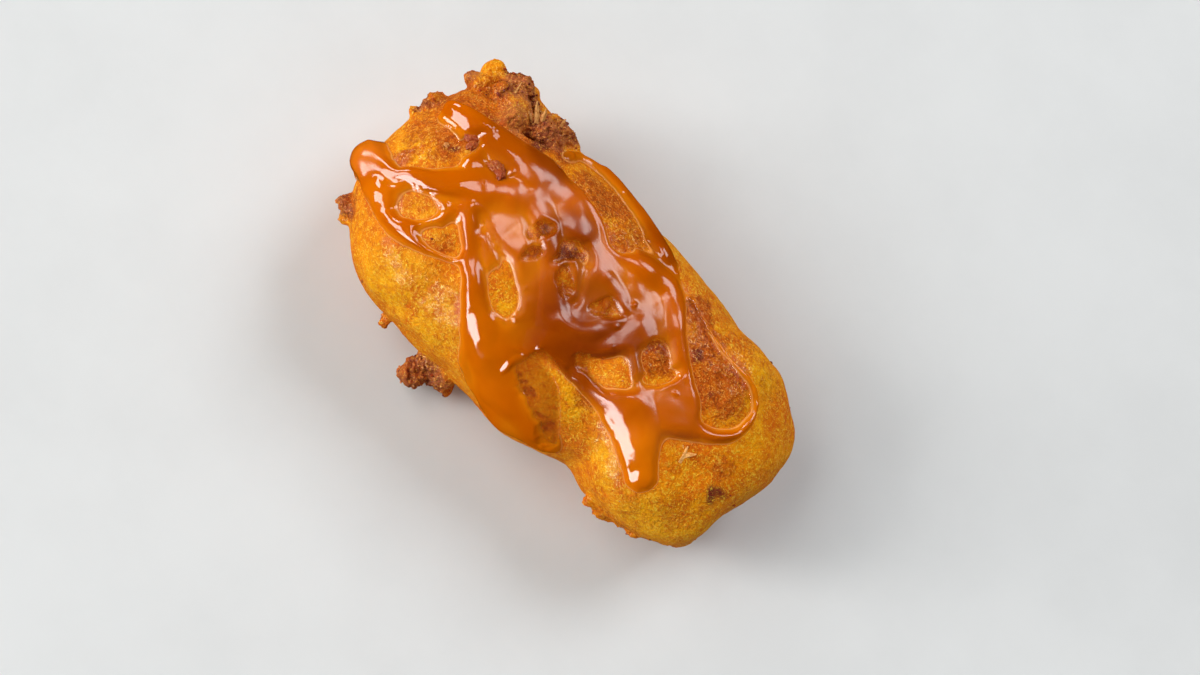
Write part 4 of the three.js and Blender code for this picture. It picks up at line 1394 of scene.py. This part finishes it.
class FRIEDBAR_OT_stage(bpy.types.Operator):
    """Sets the floor, the soft lights and the camera"""

    bl_idname = "friedbar.stage"
    bl_label = "Stage"

    bar_middle = Vector((0, 0, 18.5)) * MM
    aim = (8.2 * MM, 3.1 * MM)  # where the camera looks, from the bar's middle along +X and across
    floor_reach = 3.0
    warm = (1.0, 0.985, 0.96)
    white = (1.0, 1.0, 1.0)

    def execute(self, context):
        settings = context.scene.fried_bar.stage
        self.floor(settings)
        right, up = self.camera(context, settings)
        left = Vector((-right.x, -right.y, 0)).normalized()
        ahead = Vector((up.x, up.y, 0)).normalized()
        for name, offset, size, watts, colour, *hidden_from in self.lights(settings, left, ahead):
            light = self.area_light(name, offset, size, watts, colour)
            for rays in hidden_from:
                setattr(light, f"visible_{rays}", False)
        self.room(context, settings)
        return {"FINISHED"}

    def lights(self, settings, left, ahead):
        """Each light's name, place from the bar, size, watts, colour and the rays that don't meet it."""
        up = Vector((0, 0, 1))
        window = left * 2.1 + ahead * 0.25 + up * 0.95
        low = left * 1.9 - ahead * 0.9 + up * 0.85
        high = left * 1.35 + ahead * 1.65 + up * 0.8
        overhead = Vector((-0.75, 0.75, 2.1))
        sky = left * 1.4 + ahead * 0.5 + up * 1.9
        panel = ahead * 1.2 - left * 1.5 + up * 1.8
        return (
            ("window", window, (0.7, 1.2), settings.window, self.warm),
            ("gleam", low, (1.35, 1.0), settings.gleam, self.white, "diffuse"),
            ("glow", high, (0.8, 0.8), settings.glow, self.white, "diffuse"),
            ("sheen", overhead, (0.65, 0.65), settings.sheen, (1.0, 0.97, 0.94), "diffuse"),
            ("skylight", sky, (2.2, 1.3), settings.skylight, self.warm, "glossy"),
            ("panel", panel, (1.3, 1.1), settings.panel, (0.97, 0.98, 1.0)),
        )

    def floor(self, settings):
        work = bmesh.new()
        bmesh.ops.create_grid(work, x_segments=2, y_segments=2, size=self.floor_reach)
        mesh = bpy.data.meshes.new("floor")
        work.to_mesh(mesh)
        work.free()
        floor = link_object("floor", mesh)
        mesh.materials.append(floor_finish(settings.floor))
        floor.visible_glossy = False

    def camera(self, context, settings):
        """Looks steeply down from the bar's -Y side, and gives the picture's right and up."""
        back = Vector((0, -math.cos(settings.elevation), math.sin(settings.elevation)))
        side = Vector((1, 0, 0))
        over = back.cross(side)
        cos, sin = math.cos(settings.roll), math.sin(settings.roll)
        right = side * cos + over * sin
        up = over * cos - side * sin
        target = self.bar_middle + side * self.aim[0] + over * self.aim[1]
        data = bpy.data.cameras.new("camera")
        data.lens = settings.lens
        data.sensor_width = 36
        camera = bpy.data.objects.new("camera", data)
        context.scene.collection.objects.link(camera)
        turn = Matrix((right, up, back)).transposed()
        camera.matrix_world = Matrix.Translation(target + back * settings.distance) @ turn.to_4x4()
        context.scene.camera = camera
        return right, up

    def area_light(self, name, offset, size, watts, colour):
        """A rectangular light that faces the bar's middle."""
        data = bpy.data.lights.new(name, "AREA")
        data.shape = "RECTANGLE"
        data.size, data.size_y = size
        data.energy = watts
        data.color = colour
        light = bpy.data.objects.new(name, data)
        bpy.context.scene.collection.objects.link(light)
        light.location = self.bar_middle + offset
        light.rotation_euler = offset.to_track_quat("Z", "Y").to_euler()
        return light

    def room(self, context, settings):
        """Pale walls and a dimmer ceiling, as the world's light."""
        world = bpy.data.worlds.new("room")
        world.use_nodes = True
        node = Nodes(world.node_tree).node
        direction = node("ShaderNodeTexCoord").outputs["Generated"]
        height = node("ShaderNodeSeparateXYZ", {}, {0: direction}).outputs["Z"]
        heights = {"Value": height, "From Min": 0.05, "From Max": 0.7}
        levels = {"To Min": settings.walls, "To Max": settings.ceiling}
        brightness = node("ShaderNodeMapRange", {}, heights | levels).outputs["Result"]
        shown = {"Color": (0.94, 0.97, 1.0, 1.0), "Strength": brightness}
        background = node("ShaderNodeBackground", {}, shown)
        node("ShaderNodeOutputWorld", {}, {"Surface": background.outputs[0]})
        world.cycles_visibility.glossy = False
        context.scene.world = world
        context.scene.view_settings.view_transform = "Standard"


class FriedBarSettings(bpy.types.PropertyGroup):
    crust: PointerProperty(type=CrustSettings)
    bar: PointerProperty(type=BarSettings)
    sauce: PointerProperty(type=SauceSettings)
    crumbs: PointerProperty(type=CrumbSettings)
    stage: PointerProperty(type=StageSettings)


class FRIEDBAR_PT_pieces(bpy.types.Panel):
    """Lists the pieces of the fried bar"""

    bl_idname = "FRIEDBAR_PT_pieces"
    bl_label = "Fried Bar"
    bl_space_type = "VIEW_3D"
    bl_region_type = "UI"
    bl_category = "Fried Bar"

    def draw(self, context):
        for piece in PIECES:
            self.layout.operator(piece.bl_idname)


PIECES = (
    FRIEDBAR_OT_crust,
    FRIEDBAR_OT_bar,
    FRIEDBAR_OT_sauce,
    FRIEDBAR_OT_crumbs,
    FRIEDBAR_OT_shards,
    FRIEDBAR_OT_scraps,
    FRIEDBAR_OT_stage,
)
GROUPS = (CrustSettings, BarSettings, SauceSettings, CrumbSettings, StageSettings, FriedBarSettings)


def register():
    for group in GROUPS + PIECES + (FRIEDBAR_PT_pieces,):
        bpy.utils.register_class(group)
    bpy.types.Scene.fried_bar = PointerProperty(type=FriedBarSettings)


def unregister():
    del bpy.types.Scene.fried_bar
    for group in reversed(GROUPS + PIECES + (FRIEDBAR_PT_pieces,)):
        bpy.utils.unregister_class(group)


def main():
    register()
    bpy.ops.friedbar.crust()
    bpy.ops.friedbar.bar()
    bpy.ops.friedbar.sauce()
    bpy.ops.friedbar.crumbs()
    bpy.ops.friedbar.shards()
    bpy.ops.friedbar.scraps()
    bpy.ops.friedbar.stage()


if __name__ == "__main__":
    main()
